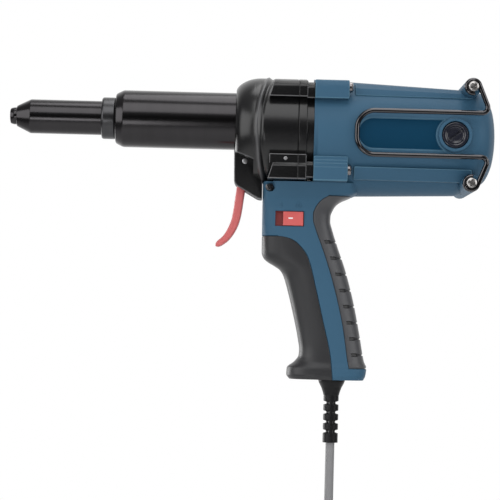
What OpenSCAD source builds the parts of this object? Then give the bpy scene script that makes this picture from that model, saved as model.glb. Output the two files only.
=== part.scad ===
// Corded electric blind rivet gun. A motor turns a ball nut through two gear stages, and the nut draws
// the pull rod and its jaws back. Nose to -X, left side to -Y, +Z up, origin at the middle of the hand grip.

/* [Layout] */
// Height of the barrel axis over the middle of the hand grip
axis_z = 127; // [124:0.5:134]
// How far the motor axis lies below the barrel axis
motor_drop = 9; // [8:0.25:10]
// How far the centre of the gear case lies below the barrel axis
case_drop = 6; // [5:0.25:7]
// Front face of the gear case, from the grip's middle
case_front = -62.5; // [-70:0.5:-60]
// Length of the gear case
case_len = 55.6; // [50:0.1:70]
// Length of the blue motor housing
motor_len = 130.4; // [120:0.1:155]

/* [Nose and barrel] */
// Diameter of the nosepiece
nose_d = 12.3; // [11:0.1:15]
// Visible length of the nosepiece
nose_len = 4.9; // [4:0.1:8]
// Bore for the rivet mandrel
mandrel_d = 3.1; // [2:0.1:3.7]
// Diameter of the front sleeve
sleeve_d = 24.5; // [22:0.5:30]
// Visible length of the front sleeve
sleeve_len = 61.4; // [58:0.5:75]
// Length of the cone on the front sleeve
sleeve_cone = 10; // [7:0.5:12]
// Wall of the front sleeve
sleeve_wall = 2; // [1.6:0.1:2.4]
// Diameter of the lock collar
collar_d = 30; // [28:0.5:38]
// Length of the lock collar
collar_len = 10; // [8:0.5:14]
// Diameter of the barrel
barrel_d = 41; // [38:0.5:50]
// Visible length of the barrel
barrel_len = 86.5; // [80:0.5:104]
// Wall of the barrel
barrel_wall = 3.5; // [2.5:0.1:4.5]

/* [Pull mechanism] */
// Pull stroke of the rod
stroke = 20; // [12:0.5:24]
// Diameter of the ball screw
screw_d = 12; // [10:0.5:13]
// Length of the jaws
jaw_len = 14; // [11:0.5:15]
// Key width of the hexagon on the pull rod
hex_key = 13; // [11:0.5:15.5]

/* [Gears] */
// Module of the motor stage
module_1 = 0.75; // [0.7:0.01:0.78]
// Module of the nut stage
module_2 = 0.8; // [0.76:0.01:0.84]
// Face width of the drive gear
drive_face = 7.5; // [6:0.5:7.5]

/* [Motor] */
// Diameter of the armature
armature_d = 35; // [30:0.5:36]
// Length of the armature core
core_len = 42; // [36:1:46]
// Diameter of the stator
stator_d = 60; // [56:0.5:61]
// Diameter of the commutator
commutator_d = 22; // [20:0.5:26]

/* [Grip] */
// Thickness of the rubber grip
rubber_t = 2; // [1.4:0.1:2.4]
// Wall of the grip under the rubber
grip_wall = 2.2; // [1.8:0.1:2.8]
// Part of the drawn grip width that is used, in percent
grip_width = 100; // [83:1:120]
// Travel of the power switch
switch_travel = 5; // [4:0.25:6]

/* [Trigger] */
// Width of the trigger lever
trigger_w = 10; // [8:0.5:12]
// Thickness of the trigger lever
trigger_t = 6.5; // [5.4:0.1:6.6]
// Diameter of the trigger pin
trigger_pin_d = 4; // [3:0.1:4.8]

/* [Hook and screws] */
// Diameter of the hook wire
wire_d = 3.5; // [2.8:0.1:4.2]
// Gap between the hook wire and the sunk panel that it runs round
wire_gap = 3; // [2.4:0.1:3.6]
// Diameter of the four case screws
case_screw_d = 4; // [3.3:0.1:4.8]

/* [Cord] */
// Diameter of the mains cord
cord_d = 6.5; // [5.5:0.1:6.8]

/* [Hidden] */
$fn = 64;
run_gap = 0.05;
slide_gap = 0.35;
seat_gap = 0.05;
clear = 0.5;

// Axes in the cross plane, as [Y, Z]
barrel_axis = [0, axis_z];
motor_axis = [0, axis_z - motor_drop];
case_axis = [0, axis_z - case_drop];
z1 = 9;
z2 = 36;
z3 = 10;
z4 = 50;
centre_1 = module_1 * (z1 + z2) / 2;
centre_2 = module_2 * (z3 + z4) / 2;
idler_dz = (pow(centre_2, 2) - pow(centre_1, 2) - pow(motor_drop, 2)) / (2 * motor_drop);
idler_dy = sqrt(pow(centre_1, 2) - pow(idler_dz, 2));
idler_axis = [idler_dy, motor_axis[1] - idler_dz];
angle_1 = atan2(-idler_dz, idler_dy);
angle_2 = atan2(axis_z - idler_axis[1], -idler_dy);

// Stations along X
barrel_front = case_front - barrel_len;
collar_front = barrel_front - collar_len;
sleeve_front = collar_front - sleeve_len;
nose_tip = sleeve_front - nose_len;
barrel_seat = 6;
thread_len = 11;
case_wall_x = case_front + 14.5;
housing_x = case_front + case_len;
seam_x = housing_x - 11;
recess_x = housing_x - 5;
rear_x = housing_x + motor_len;
band_rear = housing_x + 24.1;
brush_x = housing_x + 99.3;

// Bearings as [bore, outside diameter, width]
nut_brg = [17, 30, 7];
idler_brg = [5, 11, 5];
motor_brg = [8, 22, 7];
plate_t = nut_brg[2];
plate_x = case_wall_x + drive_face + 2.5;
rear_plate_t = 8;
idler_front_x = case_wall_x - idler_brg[2];
idler_rear_x = housing_x - rear_plate_t;
motor_front_x = housing_x - motor_brg[2];
motor_rear_x = rear_x - 16.7;
bearings = [
  [barrel_axis, case_wall_x - nut_brg[2], nut_brg],
  [barrel_axis, plate_x, nut_brg],
  [idler_axis, idler_front_x, idler_brg],
  [idler_axis, idler_rear_x, idler_brg],
  [motor_axis, motor_front_x, motor_brg],
  [motor_axis, motor_rear_x, motor_brg]
];

// Gear case
case_r = 37.5;
case_cavity_r = 34;
dome_r = 28.5;
dome_len = 18;
lug_in = 24;
lug_out = 38;
lug_h = 11.8;
lug_mid = [-31, 27.3];
lug_y = 32;
lug_dz = 29.2;
lug_front = case_front + 23.4;
lug_slant = 3.6;
lug_chamfer = 1.2;
pad_front = lug_front + 0.9;
pad_in = 20;
pad_out = 36.6;
pad_h = 6.5;
case_screw_grip = 13;
bead_x = case_front + 15.4;
bead_h = 0.7;
bead_w = 1;
pad_top_dz = 19.1;
plate_screw_angles = [30, 150, 270];
plate_screw_r = 28.5;

// Trigger bracket and trigger
bracket_rear = case_front + 20.2;
pin_x = case_front + 7.2;
pin_z = axis_z - 29.2;
trigger_boss_r = 5.4;
bracket_w = trigger_w + 12;
slot_w = trigger_w + 2 * slide_gap;
slot_front = case_front + 0.3;
slot_rear = pin_x + trigger_boss_r + 0.4;
dome_cut = [[case_front - 1, axis_z - 23], [case_front + 11, axis_z - 28], [case_front + 11, axis_z - 60],
  [case_front - 1, axis_z - 60]];
bracket_side = [
  [case_front - 0.9, axis_z - 20.5], [case_front - 0.3, axis_z - 44.5],
  [case_front + 1.6, axis_z - 47], [case_front + 17, axis_z - 55.8], [bracket_rear, axis_z - 56.2],
  [bracket_rear, axis_z - 36], [case_front + 6, axis_z - 20.5]
];
trigger_line = [
  [-90.2, -12.3], [-84.2, -5], [-78.4, -1.2], [-72.5, 1.2], [-66.7, 2.5], [-55.2, 4], [-43, 5.5],
  [-29.2, 7.2]
];
plunger_z = axis_z - 48.2;
plunger_d = 3.5;
plunger_travel = 3.7;
pocket_w = 14;
pocket_bottom = axis_z - 52;
pocket_top = axis_z - 44.6;

// Grip sections: for each height, the front and back edge, half width, roundness and rubber edges
grip_bottom = -57;
grip_top = axis_z - case_drop - case_r - 0.3;
front_edge = [
  [-57, -19.5], [-54, -21.7], [-49, -21.4], [-44.5, -16.2], [-40, -13.2], [-36, -12.9],
  [-28, -14.1], [-8, -18.6], [10, -23.4], [17, -25.8], [20.8, -28.4], [23.5, -32.5], [26.3, -37.3],
  [29, -40.2], [33, -41.6], [84, -42]
];
back_edge = [
  [-57, 33.5], [-54, 35], [-48, 35.7], [-44, 34], [-41, 33.2], [-23.8, 30], [-0.8, 25.1],
  [22, 18.7], [39, 12.5], [50.5, 8.6], [56.2, 7.1], [60, 7.2], [64, 8.6], [68, 11.1], [71, 15],
  [74, 21.7], [77, 26], [84, 26]
];
half_width = [
  [-57, 16.6], [-54, 17.8], [-50, 17.6], [-44, 16], [-30, 15.2], [0, 15.6], [30, 16.6], [50, 17.3],
  [64, 17.6], [70, 19], [76, 22.5], [84, 28]
];
roundness = [[-57, 2.8], [20, 2.6], [45, 3.2], [60, 4], [84, 4]];
front_rubber_edge = [
  [-57, 11], [-41, 9.2], [-15, 3.2], [9, -2.7], [30, -8.6], [39.2, -15.6], [42.5, -20.5],
  [44.3, -27], [45, -36]
];
rear_rubber_edge = [
  [-49, 22.9], [-45, 22], [-20, 18], [5.3, 12], [29, 4.7], [51.7, -3.9], [56, -5.2], [61, -5.4],
  [66, -3.6], [69, -1.6], [72, 1.6], [75, 7.5]
];
front_rubber_top = 44.7;
rear_rubber_bottom = -48.6;
rear_rubber_top = 74.2;
groove_count = 8;
groove_top = 41.3;
groove_step = 11.45;
groove_depth = 0.9;
edge_step = 0.2;
rubber_gap = 0.12;
grip_heights = [
  -57, -55.5, -52, -48.8, -48.6, -44, -40, -36, -28, -18, -8, 2, 10, 17, 20.8, 23.5, 26.3, 29, 32.5,
  38, 42, 44.7, 44.9, 50, 56, 60, 64, 68, 71, 72.8, 74.2, 74.4, 77, 80, grip_top
];
front_heights = [
  -57, -55.5, -52, -48.6, -44, -40, -36, -28, -18, -8, 2, 10, 17, 20.8, 23.5, 26.3, 29, 32.5, 38,
  42, front_rubber_top
];

// Power switch
switch_x = -22.4;
switch_z = 57.7;
switch_win = [20.2, 10];
slider_len = 14.4;

// Motor housing
band_r = 37.5;
rib_mid = [-31.2, 28.6];
can_front_r = 39.4;
can_rear_r = 35.4;
can_taper_end = rear_x - 20;
can_wall = 3;
keel_drop = 13;
keel_r = 30;
panel_depth = 0.9;
panel_h = 21.5;
panel_front = housing_x + 31;
boss_ring_r = 12.1;
brush_cap_r = 9.4;
brush_size = [6.2, 8];
holder_wall = 1.2;
holder_in = 14;
holder_out = 31;
cap_in = 33.4;
hook_boss_x = rear_x - 19.7;
hook_boss_dz = 33.9;
hook_boss_r = 8;
hook_boss_y = 40;
hook_screw_d = 4;
house_screw = [-36.9, 79.8];
grip_screw = [1, 20];
house_screw_d = 3.6;
house_screw_y = 16;
grip_screw_y = 11;
core_x = housing_x + 31.6;
seat_rib = 4;

// Hook wire
wire_y = -(hook_boss_y + wire_d / 2 + 0.15);
wire_leg_dz = panel_h / 2 + wire_gap + wire_d / 2;
wire_bend_r = 12.7;
wire_bend_x = panel_front - 1.2 + wire_bend_r;
wire_corner_x = rear_x - 13.2;
wire_corner_r = 4;
eye_r = 2.8 + wire_d / 2;

// Cord: strain relief, drop and hank
cord_x = 11;
relief_cone_z = -68;
relief_end_z = -102;
relief_flange_r = 11;
rib_count = 5;
rib_groove = 1.6;
run_len = 100;
run_top_z = -198;
fold_r = 20;
hank_turns = 5;
loop_rings = 24;
loop_step = 8.8;
layer_step = cord_d + 0.9;
waist = 0.2;
outer_fold_r = fold_r + loop_step * hank_turns / 2;
hank_x = cord_x - outer_fold_r;
plug_z = -352;
cord_drop = [[cord_x, 0, -102], [cord_x, 0, -118], [cord_x, 0, -134], [cord_x, 0, -150], [cord_x, 0, -166],
  [cord_x, 0, -182], [cord_x, 0, run_top_z]];

blue = "#3d6080";
black = "#1c1c1e";
steel = "#b9bcc0";
dark_steel = "#3b3c40";
rubber = "#3c3d42";
red = "#d9544f";

// Monotone curve through [key, value] pairs
function segment(t, p, i = 0) = i >= len(p) - 2 || t < p[i + 1][0] ? i : segment(t, p, i + 1);
function chord(p, i) = (p[i + 1][1] - p[i][1]) / (p[i + 1][0] - p[i][0]);
function slope(p, i) =
  i == 0 ? chord(p, 0) :
  i == len(p) - 1 ? chord(p, i - 1) :
  let (a = chord(p, i - 1), b = chord(p, i)) a * b <= 0 ? 0 : 2 * a * b / (a + b);
function curve(t, p) =
  let (i = segment(t, p), h = p[i + 1][0] - p[i][0], u = (t - p[i][0]) / h, v = 1 - u)
  p[i][1] * (1 + 2 * u) * v * v + slope(p, i) * h * u * v * v
  + p[i + 1][1] * u * u * (3 - 2 * u) - slope(p, i + 1) * h * u * u * v;

// Placing helpers
module at_axis(yz) translate([0, yz[0], yz[1]]) children();
module rod_x(x0, x1, r) translate([x0, 0, 0]) rotate([0, 90, 0]) cylinder(h = x1 - x0, r = r);
module rod_y(x, z, y0, y1, r) translate([x, y1, z]) rotate([90, 0, 0]) cylinder(h = y1 - y0, r = r);
module revolve_x(points) rotate([0, 90, 0]) rotate_extrude() polygon(points);
module section_x(x0, x1) translate([x0, 0, 0]) rotate([90, 0, 90]) linear_extrude(x1 - x0) children();
module side_y(y0, y1) translate([0, y1, 0]) rotate([90, 0, 0]) linear_extrude(y1 - y0) children();
module box(a, b) translate(a) cube(b - a);

// One closed skin over rings of equal point count
function skin_faces(rings, n) = concat(
  [for (i = [0 : rings - 2], j = [0 : n - 1]) [i * n + j, i * n + (j + 1) % n, (i + 1) * n + (j + 1) % n]],
  [for (i = [0 : rings - 2], j = [0 : n - 1]) [i * n + j, (i + 1) * n + (j + 1) % n, (i + 1) * n + j]]);
function cap(start, n, flip) = [for (j = [1 : n - 2])
  flip ? [start, start + j + 1, start + j] : [start, start + j, start + j + 1]];
function strip_cap(start, n, flip) = [for (j = [0 : n / 2 - 2], k = [0, 1])
  let (a = start + j, b = start + j + 1, c = start + n - 2 - j, d = start + n - 1 - j,
    t = k == 0 ? [a, b, c] : [a, c, d]) flip ? [t[0], t[2], t[1]] : t];

// Round tube along a path whose rings stand square to the path
function unit(v) = v / norm(v);
function tangent(p, i) = unit(p[min(i + 1, len(p) - 1)] - p[max(i - 1, 0)]);
function tube_points(p, r, n, side) = [for (i = [0 : len(p) - 1])
  let (t = tangent(p, i), u = unit(side - (side * t) * t), w = cross(t, u))
  for (j = [0 : n - 1]) p[i] + r * (cos(360 * j / n) * u + sin(360 * j / n) * w)];
module tube(p, r, n, side = [0, 1, 0])
  polyhedron(tube_points(p, r, n, side),
    concat([for (f = skin_faces(len(p), n)) [f[0], f[2], f[1]]], cap(0, n, false),
      cap((len(p) - 1) * n, n, true)));

// Coil spring along X
module coil(x0, x1, r, wire, turns) {
  steps = turns * 8;
  path = [for (i = [0 : steps]) let (a = 360 * i / 8)
    [x0 + wire + (x1 - x0 - 2 * wire) * i / steps, r * cos(a), r * sin(a)]];
  tube(path, wire, 6, [1, 0, 0]);
}

// Straight-flanked gear with backlash, tooth 0 on the first axis
tooth_add = 0.8;
tooth_ded = 1.1;
tooth_tip = 0.2;
tooth_root = 0.6;
function gear_points(z, m) = [for (k = [0 : z - 1], c = [[-tooth_ded, -tooth_root], [tooth_add, -tooth_tip],
  [tooth_add, tooth_tip], [-tooth_ded, tooth_root]])
  let (r = m * z / 2 + c[0] * m, a = (k + c[1] / 2) * 360 / z) [r * cos(a), r * sin(a)]];
module gear(x0, x1, z, m, phase) section_x(x0, x1) rotate(phase) polygon(gear_points(z, m));

// Nose and barrel
sleeve_r = sleeve_d / 2;
sleeve_bore = sleeve_r - sleeve_wall;
shank_r = nose_d / 2 - 1.1;
shank_end = sleeve_front + 6.4;
jaw_case_x = shank_end + 3;
opener_r = mandrel_d / 2 + 1.8;
jaw_x = jaw_case_x + 4.4;
barrel_bore = barrel_d / 2 - barrel_wall;

module nosepiece() color(dark_steel) at_axis(barrel_axis) revolve_x([
  [mandrel_d / 2, nose_tip], [nose_d / 2 - 1.8, nose_tip], [nose_d / 2 - 0.5, nose_tip + 0.7],
  [nose_d / 2, nose_tip + 2], [nose_d / 2, sleeve_front], [shank_r, sleeve_front], [shank_r, shank_end],
  [opener_r, shank_end], [opener_r, jaw_x - slide_gap], [mandrel_d / 2, jaw_x - slide_gap]]);

module front_sleeve() color(dark_steel) at_axis(barrel_axis) revolve_x([
  [shank_r + seat_gap, sleeve_front], [nose_d / 2 + 1, sleeve_front],
  [sleeve_r, sleeve_front + sleeve_cone],
  [sleeve_r, barrel_front + thread_len], [sleeve_bore, barrel_front + thread_len], [sleeve_bore, shank_end],
  [shank_r + seat_gap, shank_end]]);

module barrel_collar() color(dark_steel) at_axis(barrel_axis) revolve_x([
  [sleeve_r + seat_gap, collar_front], [collar_d / 2 - 0.8, collar_front],
  [collar_d / 2, collar_front + 0.8],
  [collar_d / 2, barrel_front - 0.8], [collar_d / 2 - 0.8, barrel_front],
  [sleeve_r + seat_gap, barrel_front]]);

module outer_barrel() color(dark_steel) at_axis(barrel_axis) revolve_x([
  [sleeve_r + seat_gap, barrel_front], [barrel_d / 2 - 2.4, barrel_front],
  [barrel_d / 2, barrel_front + 5.5],
  [barrel_d / 2, case_front + barrel_seat], [barrel_bore, case_front + barrel_seat],
  [barrel_bore, barrel_front + thread_len + 3], [sleeve_r + seat_gap, barrel_front + thread_len]]);

// Pull rod with its jaws, at rest fully forward
jaw_case_r = sleeve_bore - slide_gap;
jaw_bore = jaw_case_r - 2.6;
mouth_r = opener_r + 0.5;
pusher_x = jaw_x + jaw_len + 0.2;
spring_x = pusher_x + 5;
rod_front = spring_x + 12;
jaw_case_end = rod_front + 9;
nut_front = case_wall_x - 25;
rod_end = nut_front - stroke - 7;
screw_end = nut_front + 18;
hex_front = jaw_case_end + 9;
hex_rear = rod_end - 13;
bush_x = barrel_front + thread_len + 7;
bush_len = 15;
spigot_r = screw_d / 2 - 2;
hex_r = hex_key / sqrt(3);

module jaw_case() color(steel) at_axis(barrel_axis) revolve_x([
  [mouth_r, jaw_case_x], [jaw_case_r - 1, jaw_case_x], [jaw_case_r, jaw_case_x + 1],
  [jaw_case_r, jaw_case_end], [jaw_bore, jaw_case_end], [jaw_bore, jaw_x + jaw_len + 0.1],
  [mouth_r, jaw_x - 0.4]]);

module jaws() color(steel) at_axis(barrel_axis) for (k = [0 : 2]) rotate([120 * k, 0, 0])
  rotate([0, 90, 0]) rotate_extrude(angle = 114) polygon([
    [mandrel_d / 2 + 0.25, jaw_x], [mouth_r - 0.15, jaw_x], [jaw_bore - 0.25, jaw_x + jaw_len],
    [mandrel_d / 2 + 0.25, jaw_x + jaw_len]]);

module jaw_pusher() color(steel) at_axis(barrel_axis) revolve_x([
  [mandrel_d / 2 + 0.5, pusher_x], [jaw_bore - 0.3, pusher_x], [jaw_bore - 0.3, spring_x],
  [mandrel_d / 2 + 1.6, spring_x], [mandrel_d / 2 + 1.6, spring_x + 4],
  [mandrel_d / 2 + 0.5, spring_x + 4]]);

module jaw_spring() color(steel) at_axis(barrel_axis)
  coil(spring_x + 0.05, rod_front - 0.05, jaw_bore - 1.3, 0.6, 6);

module pull_rod() color(steel) at_axis(barrel_axis) difference() {
  union() {
    rod_x(rod_front, hex_front, jaw_bore - seat_gap);
    section_x(hex_front, hex_rear) circle(hex_r, $fn = 6);
    rod_x(hex_rear, rod_end, hex_key / 2);
  }
  rod_x(rod_front - 1, rod_front + 6, mandrel_d / 2 + 0.5);
  rod_x(rod_end - 9, rod_end + 1, spigot_r + seat_gap);
}

module rod_lock_nut() color(steel) at_axis(barrel_axis) difference() {
  section_x(jaw_case_end, jaw_case_end + 6) circle(jaw_case_r - 0.6, $fn = 6);
  rod_x(jaw_case_end - 1, jaw_case_end + 7, jaw_bore);
}

module lead_screw() color(steel) at_axis(barrel_axis) union() {
  rod_x(rod_end - 8.5, rod_end, spigot_r);
  rod_x(rod_end, screw_end, screw_d / 2);
}

module guide_bush() color("#b08d4a") at_axis(barrel_axis) difference() {
  rod_x(bush_x, bush_x + bush_len, barrel_bore - seat_gap);
  section_x(bush_x - 1, bush_x + bush_len + 1) circle((hex_key + 2 * slide_gap) / sqrt(3), $fn = 6);
}

// Ball nut with its gear
nut_r = nut_brg[0] / 2 - 0.02;
gear_seat_r = 11;
flange_x = case_wall_x + 1.5;
module drive_nut() color(steel) at_axis(barrel_axis) revolve_x([
  [screw_d / 2 + 0.1, nut_front], [nut_r, nut_front], [nut_r, case_wall_x], [10.2, case_wall_x],
  [10.2, flange_x], [13.5, flange_x], [13.5, flange_x + 1], [gear_seat_r, flange_x + 1],
  [gear_seat_r, plate_x - 0.5], [10.2, plate_x - 0.5], [10.2, plate_x], [nut_r, plate_x],
  [nut_r, plate_x + plate_t], [screw_d / 2 + 0.6, plate_x + plate_t], [screw_d / 2 + 0.6, nut_front + 20],
  [screw_d / 2 + 0.1, nut_front + 20]]);

gear_x = flange_x + 1;
module drive_gear() color(steel) at_axis(barrel_axis) difference() {
  gear(gear_x, plate_x - 0.5, z4, module_2, angle_2 + 180 + 180 / z4);
  rod_x(gear_x - 1, plate_x, gear_seat_r + 0.02);
  for (k = [0 : 5]) rotate([60 * k, 0, 0]) translate([0, 15.2, 0]) rod_x(gear_x - 1, plate_x, 2.4);
}

// Intermediate shaft with its pinion and wheel
wheel_x = plate_x + plate_t + 2.5;
wheel_face = 8;
idler_r = module_2 * (z3 / 2 - tooth_ded) - 0.05;
module idler_shaft() color(steel) at_axis(idler_axis) union() {
  rod_x(idler_front_x, idler_rear_x + idler_brg[2], idler_brg[0] / 2 - 0.02);
  rod_x(case_wall_x + 0.3, idler_rear_x - 0.3, idler_r);
  gear(gear_x - 0.5, plate_x - 0.7, z3, module_2, angle_2);
}
module idler_wheel() color(steel) at_axis(idler_axis) difference() {
  union() {
    gear(wheel_x, wheel_x + wheel_face, z2, module_1, angle_1 + 180 + 180 / z2);
    rod_x(wheel_x, wheel_x + wheel_face + 3, 7);
  }
  rod_x(wheel_x - 1, wheel_x + wheel_face + 4, idler_r + 0.02);
}

// Ball bearings: grooved rings with balls between
ball_share = 0.29;
ring_share = 0.3;
end_relief = 0.6;
function bearing_gap(b) = (b[1] - b[0]) / 2;
function inner_clear(b) = b[0] / 2 + ring_share * bearing_gap(b) + 0.7;
module bearing_groove(b) translate([(b[0] + b[1]) / 4, b[2] / 2])
  circle(ball_share * bearing_gap(b) + 0.06);
module bearing_ring(b, inner) rotate([0, 90, 0]) rotate_extrude() difference() {
  translate([inner ? b[0] / 2 : b[1] / 2 - ring_share * bearing_gap(b), 0])
    square([ring_share * bearing_gap(b), b[2]]);
  bearing_groove(b);
}
module bearing_at(k) at_axis(bearings[k][0]) translate([bearings[k][1], 0, 0]) children();
module bearing_outer_rings() color(steel) for (k = [0 : 5]) bearing_at(k)
  bearing_ring(bearings[k][2], false);
module nut_inner_rings() color(steel) for (k = [0, 1]) bearing_at(k) bearing_ring(bearings[k][2], true);
module idler_inner_rings() color(steel) for (k = [2, 3]) bearing_at(k) bearing_ring(bearings[k][2], true);
module armature_inner_rings() color(steel) for (k = [4, 5]) bearing_at(k)
  bearing_ring(bearings[k][2], true);
module bearing_balls() color(steel) for (k = [0 : 5], i = [0 : 6]) bearing_at(k)
  let (b = bearings[k][2]) rotate([360 / 7 * i, 0, 0]) translate([b[2] / 2, (b[0] + b[1]) / 4, 0])
    sphere(ball_share * bearing_gap(b));

// Gear case
function dome_points(n) = [for (i = [0 : n]) let (a = 90 * i / n)
  [dome_r + (case_r - dome_r) * pow(sin(a), 1.3), case_front + dome_len * (1 - cos(a))]];
// Four screw lugs with a bevel along their outer edges; a slant leans their front faces back
module lugs(x0, x1, grow = 0, slant = 0) {
  h = lug_h / 2 + grow;
  y = lug_out + grow;
  c = lug_chamfer;
  for (s = [-1, 1], m = lug_mid) translate([0, 0, case_axis[1] + m]) mirror([0, s > 0 ? 0 : 1, 0])
    intersection() {
      section_x(x0, x1) polygon([[lug_in, -h], [y - c, -h], [y, c - h], [y, h - c], [y - c, h],
        [lug_in, h]]);
      side_y(lug_in - 1, y + 1) polygon([[x0 - slant, -2 * h], [x0 + 2 * slant, 2 * h], [x1 + 1, 2 * h],
        [x1 + 1, -2 * h]]);
    }
}
module side_pads(x1) for (s = [0, 1]) mirror([0, s, 0])
  box([pad_front, pad_in, case_axis[1] - pad_top_dz - pad_h], [x1, pad_out, case_axis[1] - pad_top_dz]);
module case_screw_holes(x0, x1, r) for (s = [-1, 1], v = [-1, 1])
  at_axis([s * lug_y, case_axis[1] + v * lug_dz]) rod_x(x0, x1, r);
module plate_screw_at() for (a = plate_screw_angles)
  at_axis(case_axis + plate_screw_r * [cos(a), sin(a)]) children();

module gear_case_front() color(black) difference() {
  union() {
    difference() {
      union() {
        difference() {
          at_axis(case_axis) revolve_x(concat([[0, case_front]], dome_points(8),
            [[0, case_front + dome_len]]));
          side_y(-case_r, case_r) polygon(dome_cut);
        }
        at_axis(case_axis) rod_x(case_front + dome_len - 1, seam_x, case_r);
        lugs(lug_front, seam_x, 0, lug_slant);
        side_y(-bracket_w / 2, bracket_w / 2) polygon(bracket_side);
        at_axis(case_axis) revolve_x([[case_cavity_r, bead_x - 2 * bead_w],
          [case_r + bead_h, bead_x - bead_w / 2],
          [case_r + bead_h, bead_x + bead_w / 2], [case_cavity_r, bead_x + 2 * bead_w]]);
        side_pads(seam_x);
      }
      at_axis(case_axis) rod_x(case_wall_x, seam_x + 1, case_cavity_r);
    }
    plate_screw_at() rod_x(case_wall_x - 1, plate_x, 4);
  }
  at_axis(barrel_axis) {
    rod_x(case_front - 1, case_front + barrel_seat, barrel_d / 2 + seat_gap);
    rod_x(case_front, case_wall_x + 1, nut_brg[0] / 2 + 2.5);
    rod_x(case_wall_x - nut_brg[2], case_wall_x + 1, nut_brg[1] / 2 + 0.02);
  }
  at_axis(idler_axis) {
    rod_x(idler_front_x, case_wall_x + 1, idler_brg[1] / 2 + 0.02);
    rod_x(idler_front_x - end_relief, case_wall_x + 1, inner_clear(idler_brg));
  }
  plate_screw_at() rod_x(plate_x - 8, plate_x + 1, 1.5);
  case_screw_holes(seam_x - case_screw_grip - 1, seam_x + 1, case_screw_d / 2 + seat_gap);
  box([slot_front, -slot_w / 2, axis_z - 60], [slot_rear, slot_w / 2, pin_z + trigger_boss_r + 0.4]);
  rod_y(pin_x, pin_z, -bracket_w, bracket_w, trigger_pin_d / 2 + 0.02);
  box([slot_rear - 1, -pocket_w / 2, pocket_bottom], [bracket_rear + 1, pocket_w / 2, pocket_top]);
}

module gear_case_rear() color(black) difference() {
  union() {
    at_axis(case_axis) rod_x(seam_x, recess_x, case_r);
    at_axis(case_axis) rod_x(recess_x - 1, housing_x, case_r - 2.5);
    lugs(seam_x, recess_x);
    lugs(recess_x - 1, housing_x, -1);
    intersection() {
      side_pads(recess_x);
      box([seam_x, -lug_out, 0], [recess_x + 1, lug_out, axis_z]);
    }
  }
  at_axis(case_axis) rod_x(seam_x - 1, housing_x - rear_plate_t, case_cavity_r);
  at_axis(motor_axis) {
    rod_x(seam_x, housing_x + 1, inner_clear(motor_brg));
    rod_x(motor_front_x, housing_x + 1, motor_brg[1] / 2 + 0.02);
  }
  at_axis(idler_axis) {
    rod_x(idler_rear_x - 1, idler_rear_x + idler_brg[2], idler_brg[1] / 2 + 0.02);
    rod_x(idler_rear_x - 1, idler_rear_x + idler_brg[2] + end_relief, inner_clear(idler_brg));
  }
  case_screw_holes(seam_x - 1, housing_x + 1, case_screw_d / 2 + 0.2);
}

module gear_plate() color("#9b9da1") difference() {
  at_axis(case_axis) rod_x(plate_x, plate_x + plate_t, case_cavity_r - 0.1);
  at_axis(barrel_axis) rod_x(plate_x - 1, plate_x + plate_t + 1, nut_brg[1] / 2 + 0.02);
  at_axis(idler_axis) rod_x(plate_x - 1, plate_x + plate_t + 1, module_2 * (z3 / 2 + tooth_add) + clear);
  plate_screw_at() rod_x(plate_x - 1, plate_x + plate_t + 1, 1.6);
}

// Trigger, its pin, plunger and switch
function trigger_side(s, n) = [for (i = [0 : n])
  let (z = trigger_line[0][0] + (trigger_line[7][0] - trigger_line[0][0]) * i / n, d = 0.05,
    t = unit([curve(z + d, trigger_line) - curve(z - d, trigger_line), 2 * d]),
    w = trigger_t / 2 - 1.1 * pow(1 - i / n, 6))
  [case_front + curve(z, trigger_line) + s * w * t[1], axis_z + z - s * w * t[0]]];
function backwards(p) = [for (i = [len(p) - 1 : -1 : 0]) p[i]];

module trigger() color(red) difference() {
  union() {
    side_y(-trigger_w / 2, trigger_w / 2)
      polygon(concat(trigger_side(-1, 20), backwards(trigger_side(1, 20))));
    rod_y(pin_x, pin_z, -trigger_w / 2, trigger_w / 2, trigger_boss_r);
  }
  rod_y(pin_x, pin_z, -trigger_w, trigger_w, trigger_pin_d / 2 + run_gap);
}

module trigger_pin() color(steel) rod_y(pin_x, pin_z, -bracket_w / 2, bracket_w / 2, trigger_pin_d / 2);

plunger_tip = case_front + curve(plunger_z - axis_z, trigger_line) + trigger_t / 2 + 0.5;
plunger_end = slot_rear + 2;
module trigger_plunger() color("#d8d8d8") translate([0, 0, plunger_z]) revolve_x([
  [0, plunger_tip], [1.1, plunger_tip], [plunger_d / 2, plunger_tip + 1], [plunger_d / 2, plunger_end],
  [0, plunger_end]]);

module trigger_switch() color(black) difference() {
  box([slot_rear, -pocket_w / 2 + 0.1, pocket_bottom + 0.1],
    [bracket_rear - 0.1, pocket_w / 2 - 0.1, pocket_top - 0.1]);
  translate([0, 0, plunger_z]) rod_x(slot_rear - 1, plunger_end + plunger_travel + slide_gap,
    plunger_d / 2 + run_gap);
}

// Grip shell as sections at each height; outline angle 0 lies at the front edge and 180 at the back edge
front_n = 4;
stripe_n = 3;
rear_n = 4;
ring_n = front_n + stripe_n + rear_n + 3;
gap_angle = 1.2;
inner_in = rubber_t + grip_wall;
function edge_angle(x, z) =
  let (f = curve(z, front_edge), b = curve(z, back_edge), u = ((f + b) / 2 - x) / ((b - f) / 2))
  acos(sign(u) * pow(min(1, abs(u)), curve(z, roundness) / 2));
function outline(a, z, depth) =
  let (f = curve(z, front_edge) + depth, b = curve(z, back_edge) - depth, e = 2 / curve(z, roundness),
    c = cos(a),
    w = curve(z, half_width) * grip_width / 100 - depth)
  [(f + b) / 2 - (b - f) / 2 * sign(c) * pow(abs(c), e),
    a == 0 || a == 180 ? 0 : -w * pow(abs(sin(a)), e), z];
function front_angle(z) = edge_angle(curve(min(z, front_rubber_top), front_rubber_edge), z);
function rear_angle(z) =
  edge_angle(curve(max(rear_rubber_bottom, min(z, rear_rubber_top)), rear_rubber_edge), z);
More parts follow.
